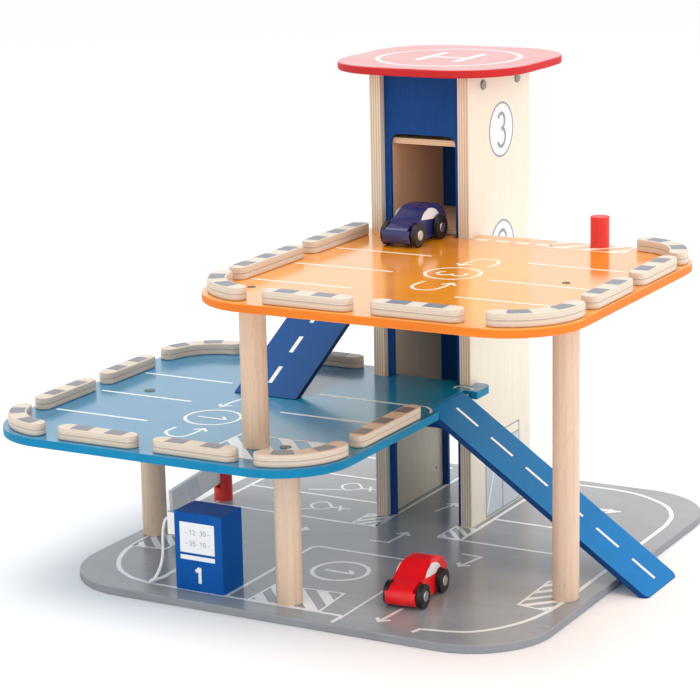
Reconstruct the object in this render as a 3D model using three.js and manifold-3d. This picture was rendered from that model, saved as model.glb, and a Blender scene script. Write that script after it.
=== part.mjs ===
import * as THREE from 'three';
import { mergeVertices } from 'three/addons/utils/BufferGeometryUtils.js';
import Module from 'manifold-3d';

const wasm = await Module();
wasm.setup();

// Frame: millimetres, X to the right, Y to the back, Z up.
// The origin is the middle of the base board's footprint, on the floor.

// Driving sizes
const board = 8;
const fitGap = 0.3;
const baseHalfX = 250;
const baseHalfY = 258;
const floorHigh = 150;
const topStorey = 170;
const towerHalf = 55;
const towerFromFront = 312;
const towerDeep = 142;
const sideThick = 12;
const panelThick = 4;
const frontRecess = 8.5;
const backRecess = 9;
const doorHalf = 36;
const doorHeight = 107;
const backDoorHeight = 99;
const doorCorner = 8.5;

// Places that follow from the driving sizes
const firstFloor = floorHigh;
const secondFloor = 2 * floorHigh;
const towerTop = secondFloor + topStorey;
const towerFront = towerFromFront - baseHalfY;
const towerBack = towerFront + towerDeep;
const firstTop = firstFloor + board;
const secondTop = secondFloor + board;
const shaftHalf = towerHalf - sideThick;
const panelFront = towerFront + frontRecess;
const panelInner = panelFront + panelThick;
const backOuter = towerBack - backRecess;
const backInner = backOuter - panelThick;

// Numbers of flat faces on round shapes
const cornerSteps = 12;
const softSteps = 4;
const rodSides = 24;
const dowelSides = 32;
const endSteps = 6;

const group = new THREE.Group();

function radians(degrees) {
  return THREE.MathUtils.degToRad(degrees);
}

function solidOf(geometry) {
  geometry.deleteAttribute('normal');
  geometry.deleteAttribute('uv');
  const merged = mergeVertices(geometry);
  return new wasm.Manifold(new wasm.Mesh({
    numProp: 3,
    vertProperties: new Float32Array(merged.attributes.position.array),
    triVerts: new Uint32Array(merged.index.array),
  }));
}

function material(color, roughness) {
  return new THREE.MeshStandardMaterial({ color, roughness, metalness: 0 });
}

function metal(color, roughness) {
  return new THREE.MeshStandardMaterial({ color, roughness, metalness: 1 });
}

function addPart(name, solid, surface) {
  const mesh = solid.getMesh();
  const geometry = new THREE.BufferGeometry();
  const corners = new THREE.BufferAttribute(new Float32Array(mesh.vertProperties), 3);
  geometry.setAttribute('position', corners);
  geometry.setIndex(new THREE.BufferAttribute(new Uint32Array(mesh.triVerts), 1));
  geometry.computeVertexNormals();
  const part = new THREE.Mesh(geometry, surface);
  part.name = name;
  group.add(part);
}

// Straight-sided block between two corners
function block(x0, x1, y0, y1, z0, z1) {
  const geometry = new THREE.BoxGeometry(x1 - x0, y1 - y0, z1 - z0);
  geometry.translate((x0 + x1) / 2, (y0 + y1) / 2, (z0 + z1) / 2);
  return solidOf(geometry);
}

// Outline in X and Y, raised from z0 to z1
function plate(points, z0, z1) {
  const geometry = new THREE.ExtrudeGeometry(new THREE.Shape(points), {
    depth: z1 - z0,
    bevelEnabled: false,
  });
  geometry.translate(0, 0, z0);
  return solidOf(geometry);
}

// Outline in Y and Z, drawn out from x0 to x1
function sideShape(points, x0, x1) {
  const geometry = new THREE.ExtrudeGeometry(new THREE.Shape(points), {
    depth: x1 - x0,
    bevelEnabled: false,
  });
  const across = new THREE.Matrix4().makeBasis(
    new THREE.Vector3(0, 1, 0),
    new THREE.Vector3(0, 0, 1),
    new THREE.Vector3(1, 0, 0),
  );
  geometry.applyMatrix4(across);
  geometry.translate(x0, 0, 0);
  return solidOf(geometry);
}

// Outline in X and Z, drawn out from y0 to y1
function frontShape(points, y0, y1) {
  const geometry = new THREE.ExtrudeGeometry(new THREE.Shape(points), {
    depth: y1 - y0,
    bevelEnabled: false,
  });
  const along = new THREE.Matrix4().makeBasis(
    new THREE.Vector3(1, 0, 0),
    new THREE.Vector3(0, 0, 1),
    new THREE.Vector3(0, -1, 0),
  );
  geometry.applyMatrix4(along);
  geometry.translate(0, y1, 0);
  return solidOf(geometry);
}

// Turned shape on the Z axis from pairs of radius and height
function turned(profile, sides) {
  const points = profile.map(([radius, height]) => new THREE.Vector2(radius, height));
  const geometry = new THREE.LatheGeometry(points, sides);
  geometry.rotateX(Math.PI / 2);
  return solidOf(geometry);
}

function cylinder(radius, z0, z1, sides) {
  return turned([[0, z0], [radius, z0], [radius, z1], [0, z1]], sides);
}

function alongX(solid) {
  return solid.rotate([0, 90, 0]);
}

function alongY(solid) {
  return solid.rotate([-90, 0, 0]);
}

function rodX(radius, x0, x1, y, z, sides = rodSides) {
  return alongX(cylinder(radius, x0, x1, sides)).translate([0, y, z]);
}

function rodY(radius, y0, y1, x, z, sides = rodSides) {
  return alongY(cylinder(radius, y0, y1, sides)).translate([x, 0, z]);
}

function post(radius, z0, z1, x, y) {
  return cylinder(radius, z0, z1, dowelSides).translate([x, y, 0]);
}

// Points of an arc, both ends included
function arc(cx, cy, radius, startDegrees, endDegrees, steps) {
  const points = [];
  for (let i = 0; i <= steps; i += 1) {
    const angle = radians(startDegrees + (endDegrees - startDegrees) * i / steps);
    points.push(new THREE.Vector2(cx + radius * Math.cos(angle), cy + radius * Math.sin(angle)));
  }
  return points;
}

// Arc that rounds the corner between two straight edges
function roundedCorner(before, corner, after, radius, steps) {
  const toBefore = before.clone().sub(corner).normalize();
  const toAfter = after.clone().sub(corner).normalize();
  const half = Math.acos(toBefore.dot(toAfter)) / 2;
  const middle = toBefore.clone().add(toAfter).normalize();
  const centre = corner.clone().addScaledVector(middle, radius / Math.sin(half));
  const reach = radius / Math.tan(half);
  const first = corner.clone().addScaledVector(toBefore, reach).sub(centre);
  const last = corner.clone().addScaledVector(toAfter, reach).sub(centre);
  let sweep = last.angle() - first.angle();
  if (sweep > Math.PI) sweep -= 2 * Math.PI;
  if (sweep < -Math.PI) sweep += 2 * Math.PI;
  const start = THREE.MathUtils.radToDeg(first.angle());
  const end = start + THREE.MathUtils.radToDeg(sweep);
  return arc(centre.x, centre.y, radius, start, end, steps);
}

// Closed outline from corners given as [x, y, rounding radius, steps]
function outline(corners) {
  const count = corners.length;
  const at = (i) => new THREE.Vector2(corners[(i + count) % count][0], corners[(i + count) % count][1]);
  const points = [];
  corners.forEach(([, , radius, steps = cornerSteps], i) => {
    if (radius > 0) points.push(...roundedCorner(at(i - 1), at(i), at(i + 1), radius, steps));
    else points.push(at(i));
  });
  return points;
}

function roundedBox(x0, x1, y0, y1, radius) {
  return outline([[x0, y0, radius], [x1, y0, radius], [x1, y1, radius], [x0, y1, radius]]);
}

// Band of even width along a centre line, with half-round ends
function band(line, half) {
  const left = [];
  const right = [];
  line.forEach((point, i) => {
    const before = line[Math.max(i - 1, 0)];
    const after = line[Math.min(i + 1, line.length - 1)];
    const way = after.clone().sub(before).normalize();
    const side = new THREE.Vector2(-way.y, way.x);
    left.push(point.clone().addScaledVector(side, half));
    right.push(point.clone().addScaledVector(side, -half));
  });
  const heading = (a, b) => THREE.MathUtils.radToDeg(b.clone().sub(a).angle());
  const endWay = heading(line[line.length - 2], line[line.length - 1]);
  const startWay = heading(line[0], line[1]);
  const last = line[line.length - 1];
  const first = line[0];
  const endCap = arc(last.x, last.y, half, endWay - 90, endWay + 90, endSteps);
  const startCap = arc(first.x, first.y, half, startWay + 90, startWay + 270, endSteps);
  const innerLeft = left.slice(1, -1).reverse();
  const innerRight = right.slice(1, -1);
  return [...innerRight, ...endCap, ...innerLeft, ...startCap];
}

// Base board
const baseCorner = 80;

function baseBoard() {
  const shape = roundedBox(-baseHalfX, baseHalfX, -baseHalfY, baseHalfY, baseCorner);
  return plate(shape, 0, board);
}

addPart('base_board', baseBoard(), material(0xa4a6aa, 0.5));

// Tower rails, crank line and rail bolts
const railThick = 16;
const railHigh = 46;
const frontRailInset = 24.5;
const backRailInset = 22.5;
const crankX = -13.3;
const crankDrop = 32;
const crankShaftRadius = 4;
const boltShankRadius = 2;
const boltHeadRadius = 5;
const boltHeadThick = 2;
const boltDepth = 14;
const frontBoltDrop = 13;
const backBoltDrop = 15;
const frontRailStart = towerFront + frontRailInset;
const backRailStart = towerBack - backRailInset - railThick;
const crankZ = towerTop - crankDrop;
const boltPlaces = [
  { name: 'rail_bolt_front', y: frontRailStart + railThick / 2, z: towerTop - frontBoltDrop },
  { name: 'rail_bolt_back', y: backRailStart + railThick / 2, z: towerTop - backBoltDrop },
];

// Rod that carries the upper end of the upper ramp
const rampThick = 5.5;
const rampTilt = 27;
const rampFootAhead = 122.2;
const rampHeadUnder = 27;
const upperRampOff = 21.9;
const upperRampWide = 71;
const toe = 0.9;
const hangRodRadius = 1.5;
const hangRodDepth = 10;
const hangRodOver = 2.5;
const rodFromEnd = 8;
const upperTilt = radians(rampTilt);
const rampFootY = towerFront - rampFootAhead;
const rampLong = (floorHigh - rampHeadUnder) / Math.sin(upperTilt);
const upperRampRight = -towerHalf - upperRampOff;
const upperRampLeft = upperRampRight - upperRampWide;
const hangAlong = rampLong - rodFromEnd;
const hangY = rampFootY + hangAlong * Math.cos(upperTilt) + rampThick / 2 * Math.sin(upperTilt);
const hangZ = firstTop + toe + hangAlong * Math.sin(upperTilt) - rampThick / 2 * Math.cos(upperTilt);

function boltHoles() {
  const reach = towerHalf - sideThick - boltDepth - fitGap;
  const holes = boltPlaces.map(({ y, z }) => rodX(
    boltShankRadius + fitGap, reach, towerHalf + boltHeadThick, y, z,
  ));
  return holes[0].add(holes[1]);
}

function rightSide() {
  const slab = block(shaftHalf, towerHalf, towerFront, towerBack, board, towerTop);
  return slab.subtract(boltHoles());
}

function leftSide() {
  const slab = block(-towerHalf, -shaftHalf, towerFront, towerBack, board, towerTop);
  const start = -towerHalf - hangRodDepth;
  const stop = -towerHalf + hangRodDepth + fitGap;
  return slab.subtract(rodX(hangRodRadius + fitGap, start, stop, hangY, hangZ));
}

// Doorway with round upper corners, cut through a panel
function doorway(z0, z1, y0, y1) {
  const shape = outline([
    [-doorHalf, z0, 0],
    [doorHalf, z0, 0],
    [doorHalf, z1, doorCorner, endSteps],
    [-doorHalf, z1, doorCorner, endSteps],
  ]);
  return frontShape(shape, y0, y1);
}

function frontPanel() {
  const sheet = block(-shaftHalf, shaftHalf, panelFront, panelInner, board, towerTop);
  const y0 = panelFront - panelThick;
  const y1 = panelInner + panelThick;
  const ground = doorway(0, doorHeight, y0, y1);
  const first = doorway(firstFloor, firstFloor + doorHeight, y0, y1);
  const second = doorway(secondFloor, secondFloor + doorHeight, y0, y1);
  return sheet.subtract(ground).subtract(first).subtract(second);
}

function backPanel() {
  const sheet = block(-shaftHalf, shaftHalf, backInner, backOuter, board, towerTop);
  const y0 = backInner - panelThick;
  const y1 = backOuter + panelThick;
  const door = doorway(0, backDoorHeight, y0, y1);
  const hole = rodY(crankShaftRadius + fitGap, y0, y1, crankX, crankZ);
  return sheet.subtract(door).subtract(hole);
}

function rail(start) {
  const end = start + railThick;
  const bar = block(-shaftHalf, shaftHalf, start, end, towerTop - railHigh, towerTop);
  const hole = rodY(crankShaftRadius + fitGap, start - railThick, end + railThick, crankX, crankZ);
  return bar.subtract(hole).subtract(boltHoles());
}

function railBolt({ y, z }) {
  const tip = towerHalf - sideThick - boltDepth;
  const shank = rodX(boltShankRadius, tip, towerHalf + boltHeadThick / 2, y, z);
  const head = rodX(boltHeadRadius, towerHalf, towerHalf + boltHeadThick, y, z);
  return shank.add(head);
}

const plyLook = () => material(0xf0e3c8, 0.55);
const blueLook = () => material(0x1c3f8f, 0.45);
addPart('tower_side_left', leftSide(), plyLook());
addPart('tower_side_right', rightSide(), plyLook());
addPart('tower_panel_front', frontPanel(), blueLook());
addPart('tower_panel_back', backPanel(), blueLook());
addPart('tower_rail_front', rail(frontRailStart), plyLook());
addPart('tower_rail_back', rail(backRailStart), plyLook());
boltPlaces.forEach((place) => addPart(place.name, railBolt(place), metal(0x9a9a9a, 0.35)));

// Roof pad with softly bowed edges
const padHalfX = 103.5;
const padHalfY = 102.5;
const padBow = 4;
const padCorner = 69;
const padEdgeBend = 700;

function helipad() {
  const x = padHalfX - padBow;
  const y = padHalfY - padBow;
  const shape = outline([
    [-x, -y, padCorner],
    [0, -padHalfY, padEdgeBend, softSteps],
    [x, -y, padCorner],
    [padHalfX, 0, padEdgeBend, softSteps],
    [x, y, padCorner],
    [0, padHalfY, padEdgeBend, softSteps],
    [-x, y, padCorner],
    [-padHalfX, 0, padEdgeBend, softSteps],
  ]);
  return plate(shape, towerTop, towerTop + board).translate([0, (towerFront + towerBack) / 2, 0]);
}

addPart('helipad', helipad(), material(0xd8232b, 0.4));

// Decks
const deckOver = 37.5;
const tabPast = 15;
const deckCorner = 70;
const tabCorner = 9;
const firstDeckOver = 50;
const firstDeckTab = 16.5;
const firstDeckPast = 34;
const secondDeckOver = 51;
const secondDeckTab = 14;
const secondDeckPast = 26.5;
const deckFront = -baseHalfY - deckOver;
const tabBack = towerFront + tabPast;
const tongueHalf = doorHalf - fitGap;
const notchHalf = towerHalf + fitGap;
const firstDeck = {
  left: -baseHalfX - firstDeckOver,
  right: towerHalf + firstDeckTab,
  back: towerFront + firstDeckPast,
  z: firstFloor,
};
const secondDeck = {
  left: -towerHalf - secondDeckTab,
  right: baseHalfX + secondDeckOver,
  back: towerFront + secondDeckPast,
  z: secondFloor,
};

// Ground ramp and its hinge pin, which sit in a notch of the first deck
const rampWidth = 75;
const rampFromTower = 27.5;
const notchSlack = 0.8;
const notchDeep = 14.9;
const notchFromTower = 19;
const hingeInset = 9;
const hingeRadius = 1.5;
const hingeReach = 12;
const rampNotchX = firstDeck.right - notchDeep;
const rampNotchBack = towerFront - notchFromTower;
const hingeX = firstDeck.right - hingeInset;
const hingeZ = firstFloor + board / 2;
const rampY1 = towerFront - rampFromTower;
const rampY0 = rampY1 - rampWidth;

function towerNotch({ back, z }) {
  const gap = block(
    -notchHalf, notchHalf, towerFront - fitGap, back + board, z - board, z + 2 * board,
  );
  const tongue = block(
    -tongueHalf, tongueHalf, towerFront - 2 * board, panelInner, z - 2 * board, z + 2 * board + board,
  );
  return gap.subtract(tongue);
}

function firstDeckSolid() {
  const { left, right, back, z } = firstDeck;
  const shape = outline([
    [left, deckFront, deckCorner],
    [right, deckFront, deckCorner],
    [right, tabBack, tabCorner],
    [0, tabBack, 0],
    [0, back, 0],
    [left, back, deckCorner],
  ]);
  const y0 = rampY0 - notchSlack;
  const y1 = rampNotchBack;
  const rampNotch = block(rampNotchX, right + board, y0, y1, z - board, z + 2 * board);
  const reach = hingeReach + fitGap;
  const bore = rodY(hingeRadius + fitGap, y0 - reach, y1 + reach, hingeX, hingeZ);
  const deck = plate(shape, z, z + board).subtract(towerNotch(firstDeck));
  return deck.subtract(rampNotch).subtract(bore);
}

// Peg that stands on the second deck, with its tenon in the deck
const pegFromRight = 112.5;
const pegFromBack = 12;
const pegX = secondDeck.right - pegFromRight;
const pegY = secondDeck.back - pegFromBack;
const pegRadius = 9.3;
const pegHigh = 30;
const tenonRadius = 4;
const tenonDepth = 6;

function secondDeckSolid() {
  const { left, right, back, z } = secondDeck;
  const shape = outline([
    [left, deckFront, deckCorner],
    [right, deckFront, deckCorner],
    [right, back, deckCorner],
    [0, back, 0],
    [0, tabBack, 0],
    [left, tabBack, tabCorner],
  ]);
  const top = z + board;
  const mortise = post(tenonRadius + fitGap, top - tenonDepth - fitGap, top + board, pegX, pegY);
  return plate(shape, z, top).subtract(towerNotch(secondDeck)).subtract(mortise);
}

function trafficPeg() {
  const tenon = post(tenonRadius, secondTop - tenonDepth, secondTop + board, pegX, pegY);
  return post(pegRadius, secondTop, secondTop + pegHigh, pegX, pegY).add(tenon);
}

addPart('deck_level_1', firstDeckSolid(), material(0x2f8fc4, 0.45));
addPart('deck_level_2', secondDeckSolid(), material(0xf28c28, 0.45));
addPart('traffic_peg', trafficPeg(), material(0xc9201f, 0.4));

// Posts of turned beech
const postRadius = 12.5;
const leftPostInset = 20;
const leftPostFromFront = 198;
const middlePostX = 0.5;
const middlePostFromFront = 75;
const upperPostInset = 43;
const upperPostFromFront = 66.5;
const rightPostInset = 22.5;
const rightPostFromFront = 196;
const posts = [
  {
    name: 'post_front_left',
    x: -baseHalfX + leftPostInset,
    y: deckFront + leftPostFromFront,
    z0: board,
    z1: firstFloor,
  },
  {
    name: 'post_front_middle',
    x: middlePostX,
    y: deckFront + middlePostFromFront,
    z0: board,
    z1: firstFloor,
  },
  {
    name: 'post_upper',
    x: secondDeck.left + upperPostInset,
    y: deckFront + upperPostFromFront,
    z0: firstTop,
    z1: secondFloor,
  },
  {
    name: 'post_right',
    x: baseHalfX - rightPostInset,
    y: deckFront + rightPostFromFront,
    z0: board,
    z1: secondFloor,
  },
];
posts.forEach(({ name, x, y, z0, z1 }) => {
  addPart(name, post(postRadius, z0, z1, x, y), material(0xd9b48a, 0.5));
});

// Kerbs of laminated wood, glued near the edges of both decks
const kerbHalf = 9;
const kerbHigh = 12;
const kerbInset = 12.5;
const kerbFrontInset = 15.5;
const kerbBend = deckCorner - kerbInset;

function kerbLook() {
  return material(0xe8cfa0, 0.55);
}

function addKerb(name, deck, line) {
  const z = deck.z + board;
  addPart(name, plate(band(line, kerbHalf), z, z + kerbHigh), kerbLook());
}

// Kerb parallel to X or Y: its start and its length are shares of the deck's width or depth
function straightKerb({ name, deck, side, shares }) {
  const across = side === 'front' || side === 'back';
  const origin = across ? deck.left : deckFront;
  const whole = across ? deck.right - deck.left : deck.back - deckFront;
  const start = origin + shares[0] * whole + kerbHalf;
  const end = start + shares[1] * whole - 2 * kerbHalf;
  const places = {
    left: (v) => new THREE.Vector2(deck.left + kerbInset, v),
    right: (v) => new THREE.Vector2(deck.right - kerbInset, v),
    front: (v) => new THREE.Vector2(v, deckFront + kerbFrontInset),
    back: (v) => new THREE.Vector2(v, deck.back - kerbInset),
  };
  addKerb(name, deck, [places[side](start), places[side](end)]);
}

// Kerb round a corner, between two angles, with a straight lead where an end has one
function cornerKerb({ name, deck, side, depth, angles, leads = [0, 0] }) {
  const cx = side === 'left' ? deck.left + deckCorner : deck.right - deckCorner;
  const frontY = deckFront + kerbFrontInset + kerbBend;
  const backY = deck.back - kerbInset - kerbBend;
  const cy = depth === 'front' ? frontY : backY;
  const bend = arc(cx, cy, kerbBend, angles[0], angles[1], cornerSteps);
  const lead = (point, angle, length) => new THREE.Vector2(
    point.x + length * Math.cos(radians(angle)),
    point.y + length * Math.sin(radians(angle)),
  );
  const line = [...bend];
  const last = bend[bend.length - 1];
  if (leads[0] > 0) line.unshift(lead(bend[0], angles[0] - 90, leads[0]));
  if (leads[1] > 0) line.push(lead(last, angles[1] + 90, leads[1]));
  addKerb(name, deck, line);
}

const cornerKerbs = [
  { name: 'kerb_1_corner_front_left', deck: firstDeck, side: 'left', depth: 'front', angles: [192, 263] },
  { name: 'kerb_1_corner_front_right', deck: firstDeck, side: 'right', depth: 'front', angles: [280, 357] },
  { name: 'kerb_1_corner_back_left', deck: firstDeck, side: 'left', depth: 'back', angles: [96, 172] },
  { name: 'kerb_2_corner_front_left', deck: secondDeck, side: 'left', depth: 'front', angles: [187, 258] },
  {
    name: 'kerb_2_corner_front_right', deck: secondDeck, side: 'right', depth: 'front',
    angles: [282, 360], leads: [0, 3.5],
  },
  { name: 'kerb_2_corner_back_right', deck: secondDeck, side: 'right', depth: 'back', angles: [10, 84] },
];
const straightKerbs = [
  { name: 'kerb_1_front_left', deck: firstDeck, side: 'front', shares: [0.2409, 0.2355] },
  { name: 'kerb_1_front_right', deck: firstDeck, side: 'front', shares: [0.5262, 0.2409] },
  { name: 'kerb_1_right', deck: firstDeck, side: 'right', shares: [0.2581, 0.3207] },
  { name: 'kerb_1_left_front', deck: firstDeck, side: 'left', shares: [0.2308, 0.2386] },
  { name: 'kerb_1_left_back', deck: firstDeck, side: 'left', shares: [0.5202, 0.2334] },
  { name: 'kerb_1_back', deck: firstDeck, side: 'back', shares: [0.3419, 0.2517] },
  { name: 'kerb_2_front_left', deck: secondDeck, side: 'front', shares: [0.2324, 0.2419] },
  { name: 'kerb_2_front_right', deck: secondDeck, side: 'front', shares: [0.5243, 0.2392] },
  { name: 'kerb_2_right_front', deck: secondDeck, side: 'right', shares: [0.2713, 0.2354] },
  { name: 'kerb_2_right_back', deck: secondDeck, side: 'right', shares: [0.5545, 0.2327] },
  { name: 'kerb_2_left_front', deck: secondDeck, side: 'left', shares: [0.2274, 0.3205] },
  { name: 'kerb_2_left_back', deck: secondDeck, side: 'left', shares: [0.5864, 0.3098] },
];
cornerKerbs.forEach(cornerKerb);
straightKerbs.forEach(straightKerb);

// Ground ramp: from the first deck down to the floor beside the base board
const rampHeadGap = 2;
const rampHeadLong = 3;
const rampToeCorner = 6;
const rampRunOut = 38.5;
const rampHeadX = rampNotchX + rampHeadGap;
const rampShoulderX = rampHeadX + rampHeadLong;
const rampToeX = baseHalfX + rampRunOut;
const groundTilt = Math.atan2(firstTop - toe, rampToeX - rampShoulderX);
const rampNormalX = rampThick / Math.sin(groundTilt);

function groundRamp() {
  const under = rampToeX - rampNormalX + toe / Math.tan(groundTilt);
  const headUnder = (under - rampHeadX) * Math.tan(groundTilt);
  const shape = [
    new THREE.Vector2(rampHeadX, firstTop),
    new THREE.Vector2(rampHeadX, headUnder),
    new THREE.Vector2(under, 0),
    new THREE.Vector2(rampToeX, 0),
    new THREE.Vector2(rampToeX, toe),
    new THREE.Vector2(rampShoulderX, firstTop),
  ];
  const plan = plate(outline([
    [rampHeadX, rampY0, 0],
    [rampToeX, rampY0, rampToeCorner],
    [rampToeX, rampY1, rampToeCorner],
    [rampHeadX, rampY1, 0],
  ]), 0, firstTop);
  const bore = rodY(hingeRadius + fitGap, rampY0 - board, rampY1 + board, hingeX, hingeZ);
  return frontShape(shape, rampY0, rampY1).intersect(plan).subtract(bore);
}

function rampPin() {
  const start = rampY0 - notchSlack - hingeReach;
  return rodY(hingeRadius, start, rampNotchBack + hingeReach, hingeX, hingeZ);
}

// Upper ramp: from the first deck up past the left side of the tower
function upperRamp() {
  const cos = Math.cos(upperTilt);
  const sin = Math.sin(upperTilt);
  const topY = rampFootY + rampLong * cos;
  const topZ = firstTop + toe + rampLong * sin;
  const underFoot = rampFootY + (rampThick / cos - toe) / Math.tan(upperTilt);
  const shape = [
    new THREE.Vector2(rampFootY, firstTop),
    new THREE.Vector2(underFoot, firstTop),
    new THREE.Vector2(topY + rampThick * sin, topZ - rampThick * cos),
    new THREE.Vector2(topY, topZ),
    new THREE.Vector2(rampFootY, firstTop + toe),
  ];
  const start = upperRampLeft - board;
  const stop = upperRampRight + board;
  const bore = rodX(hangRodRadius + fitGap, start, stop, hangY, hangZ);
  return sideShape(shape, upperRampLeft, upperRampRight).subtract(bore);
}

function hangRod() {
  const start = upperRampLeft - hangRodOver;
  return rodX(hangRodRadius, start, -towerHalf + hangRodDepth, hangY, hangZ);
}

addPart('ramp_ground', groundRamp(), material(0x1e4fa3, 0.45));
addPart('ramp_ground_pin', rampPin(), metal(0xb0b0b0, 0.35));
addPart('ramp_upper', upperRamp(), material(0x1e4fa3, 0.45));
addPart('ramp_upper_rod', hangRod(), metal(0xb0b0b0, 0.35));

// Lift cabin, shown at the second deck
const cabinSideGap = 1;
const cabinFrontGap = 1.5;
const cabinBackGap = 2;
const cabinHigh = 94.5;
const cabinFloor = 6.5;
const cabinWall = 5;
const cabinRoof = 6;
const cabinHalf = shaftHalf - cabinSideGap;
const cabinFront = panelInner + cabinFrontGap;
const cabinBack = backInner - cabinBackGap;
const cabinTop = secondTop + cabinHigh;
const cabinFloorTop = secondTop + cabinFloor;
const cabinUnderRoof = cabinTop - cabinRoof;

function cabinSide(x0) {
  return block(x0, x0 + cabinWall, cabinFront, cabinBack, cabinFloorTop, cabinUnderRoof);
}

const cabinLook = () => material(0xe6c79b, 0.55);
addPart('cabin_floor', block(
  -cabinHalf, cabinHalf, cabinFront, cabinBack, secondTop, cabinFloorTop,
), cabinLook());
addPart('cabin_roof', block(
  -cabinHalf, cabinHalf, cabinFront, cabinBack, cabinUnderRoof, cabinTop,
), cabinLook());
addPart('cabin_side_left', cabinSide(-cabinHalf), cabinLook());
addPart('cabin_side_right', cabinSide(cabinHalf - cabinWall), cabinLook());

// Crank and cord
const shaftAhead = 2.5;
const reelGap = 5.5;
const reelLong = 50;
const reelRadius = 12;
const discRadius = 22;
const discThick = 8;
const discGap = 1;
const shaftStart = frontRailStart - shaftAhead;
const reelStart = frontRailStart + railThick + reelGap;
const reelEnd = reelStart + reelLong;
const discStart = backOuter + discGap;
const knobRadius = 5;
const knobLong = 28;
const knobOffset = 15;
const cordRadius = 1;
const cordY = (reelStart + reelEnd) / 2;
const cordX = crankX + reelRadius + cordRadius + fitGap;
const cordSides = 8;

function crankShaft() {
  const shaftEnd = discStart + discThick - crankShaftRadius;
  const profile = [
    [0, shaftStart],
    [crankShaftRadius, shaftStart],
    [crankShaftRadius, reelStart],
    [reelRadius, reelStart],
    [reelRadius, reelEnd],
    [crankShaftRadius, reelEnd],
    [crankShaftRadius, shaftEnd],
    [0, shaftEnd],
  ];
  return alongY(turned(profile, rodSides)).translate([crankX, 0, crankZ]);
}

function crankDisc() {
  const end = discStart + discThick;
  const disc = rodY(discRadius, discStart, end, crankX, crankZ, dowelSides);
  const socketEnd = end - crankShaftRadius + fitGap;
  return disc.subtract(rodY(crankShaftRadius + fitGap, discStart - discThick, socketEnd, crankX, crankZ));
}

function crankKnob() {
  const start = discStart + discThick;
  return rodY(knobRadius, start, start + knobLong, crankX + knobOffset, crankZ);
}

function liftCord() {
  const low = cabinTop + fitGap;
  return cylinder(cordRadius, low, crankZ, cordSides).translate([cordX, cordY, 0]);
}

addPart('crank_shaft', crankShaft(), material(0xd9b48a, 0.5));
addPart('crank_disc', crankDisc(), material(0xd9b48a, 0.5));
addPart('crank_knob', crankKnob(), material(0xc9201f, 0.4));
addPart('lift_cord', liftCord(), material(0xf2f0ea, 0.8));

// Fuel pump with its nozzle and hose
const pumpInset = 133;
const pumpWide = 52.4;
const pumpFromFront = 25.5;
const pumpDeep = 36.4;
const pumpHigh = 77;
const nozzleThick = 8;
const nozzleDeep = 16;
const nozzleHigh = 22;
const nozzleDrop = 2;
const nozzlePegRadius = 3;
const nozzlePegLong = 8;
const hoseRadius = 1.5;
const hoseSides = 8;
const hoseSteps = 60;
const hoseExitHigh = 67;
const hoseEndDeep = 18.5;
const hoseEndHigh = 12;
const pumpLeft = -baseHalfX + pumpInset;
const pumpRight = pumpLeft + pumpWide;
const pumpFront = -baseHalfY + pumpFromFront;
const pumpBack = pumpFront + pumpDeep;
const pumpTop = board + pumpHigh;
const nozzleTop = pumpTop - nozzleDrop;
const nozzleLow = nozzleTop - nozzleHigh;
const nozzleMiddleY = pumpFront + nozzleDeep / 2;
const nozzleMiddleZ = (nozzleLow + nozzleTop) / 2;
const hoseEndY = pumpFront + hoseEndDeep;
const hoseEndZ = board + hoseEndHigh;

// Points of the hose on its way down from the nozzle: out to the left, back, up from the board
const hoseTurns = [
  { out: 1, back: 0, up: 67 },
  { out: 4.5, back: 0, up: 66 },
  { out: 7.1, back: 0, up: 63.5 },
  { out: 8.6, back: 0, up: 59.5 },
  { out: 9.8, back: -0.3, up: 52.5 },
  { out: 10.2, back: -0.8, up: 44.5 },
  { out: 9.8, back: -1.6, up: 35.5 },
  { out: 9.8, back: -3.4, up: 26 },
  { out: 11, back: -6.3, up: 17 },
  { out: 13.6, back: -9, up: 9.6 },
  { out: 17.2, back: -10.4, up: 4.6 },
  { out: 21.4, back: -8.6, up: 2.5 },
  { out: 23.2, back: -4.4, up: 2.1 },
  { out: 21.4, back: -0.2, up: 2.1 },
  { out: 17.2, back: 1.8, up: 2.7 },
  { out: 11.6, back: 5, up: 5.2 },
  { out: 4.2, back: 9.2, up: 10 },
];

function fuelPump() {
  const body = block(pumpLeft, pumpRight, pumpFront, pumpBack, board, pumpTop);
  const start = pumpLeft - nozzleThick;
  const stop = pumpLeft + nozzlePegLong + fitGap;
  return body.subtract(rodX(nozzlePegRadius + fitGap, start, stop, nozzleMiddleY, nozzleMiddleZ));
}

function pumpNozzle() {
  const grip = block(
    pumpLeft - nozzleThick, pumpLeft, pumpFront, pumpFront + nozzleDeep, nozzleLow, nozzleTop,
  );
  const middle = pumpLeft - nozzleThick / 2;
  const peg = rodX(nozzlePegRadius, middle, pumpLeft + nozzlePegLong, nozzleMiddleY, nozzleMiddleZ);
  return grip.add(peg);
}

// The hose leaves the nozzle's side, touches the base board and runs back to the pump's foot
function pumpHose() {
  const exitX = pumpLeft - nozzleThick - fitGap;
  const path = new THREE.CatmullRomCurve3([
    new THREE.Vector3(exitX, nozzleMiddleY, board + hoseExitHigh),
    ...hoseTurns.map(({ out, back, up }) => new THREE.Vector3(
      exitX - out, nozzleMiddleY + back, board + up,
    )),
    new THREE.Vector3(pumpLeft - 2 * fitGap, hoseEndY, hoseEndZ),
  ]);
  const ring = new THREE.Shape(arc(0, 0, hoseRadius, 0, 360 - 360 / hoseSides, hoseSides - 1));
  const geometry = new THREE.ExtrudeGeometry(ring, {
    steps: hoseSteps,
    extrudePath: path,
    bevelEnabled: false,
  });
  return solidOf(geometry);
}

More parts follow.
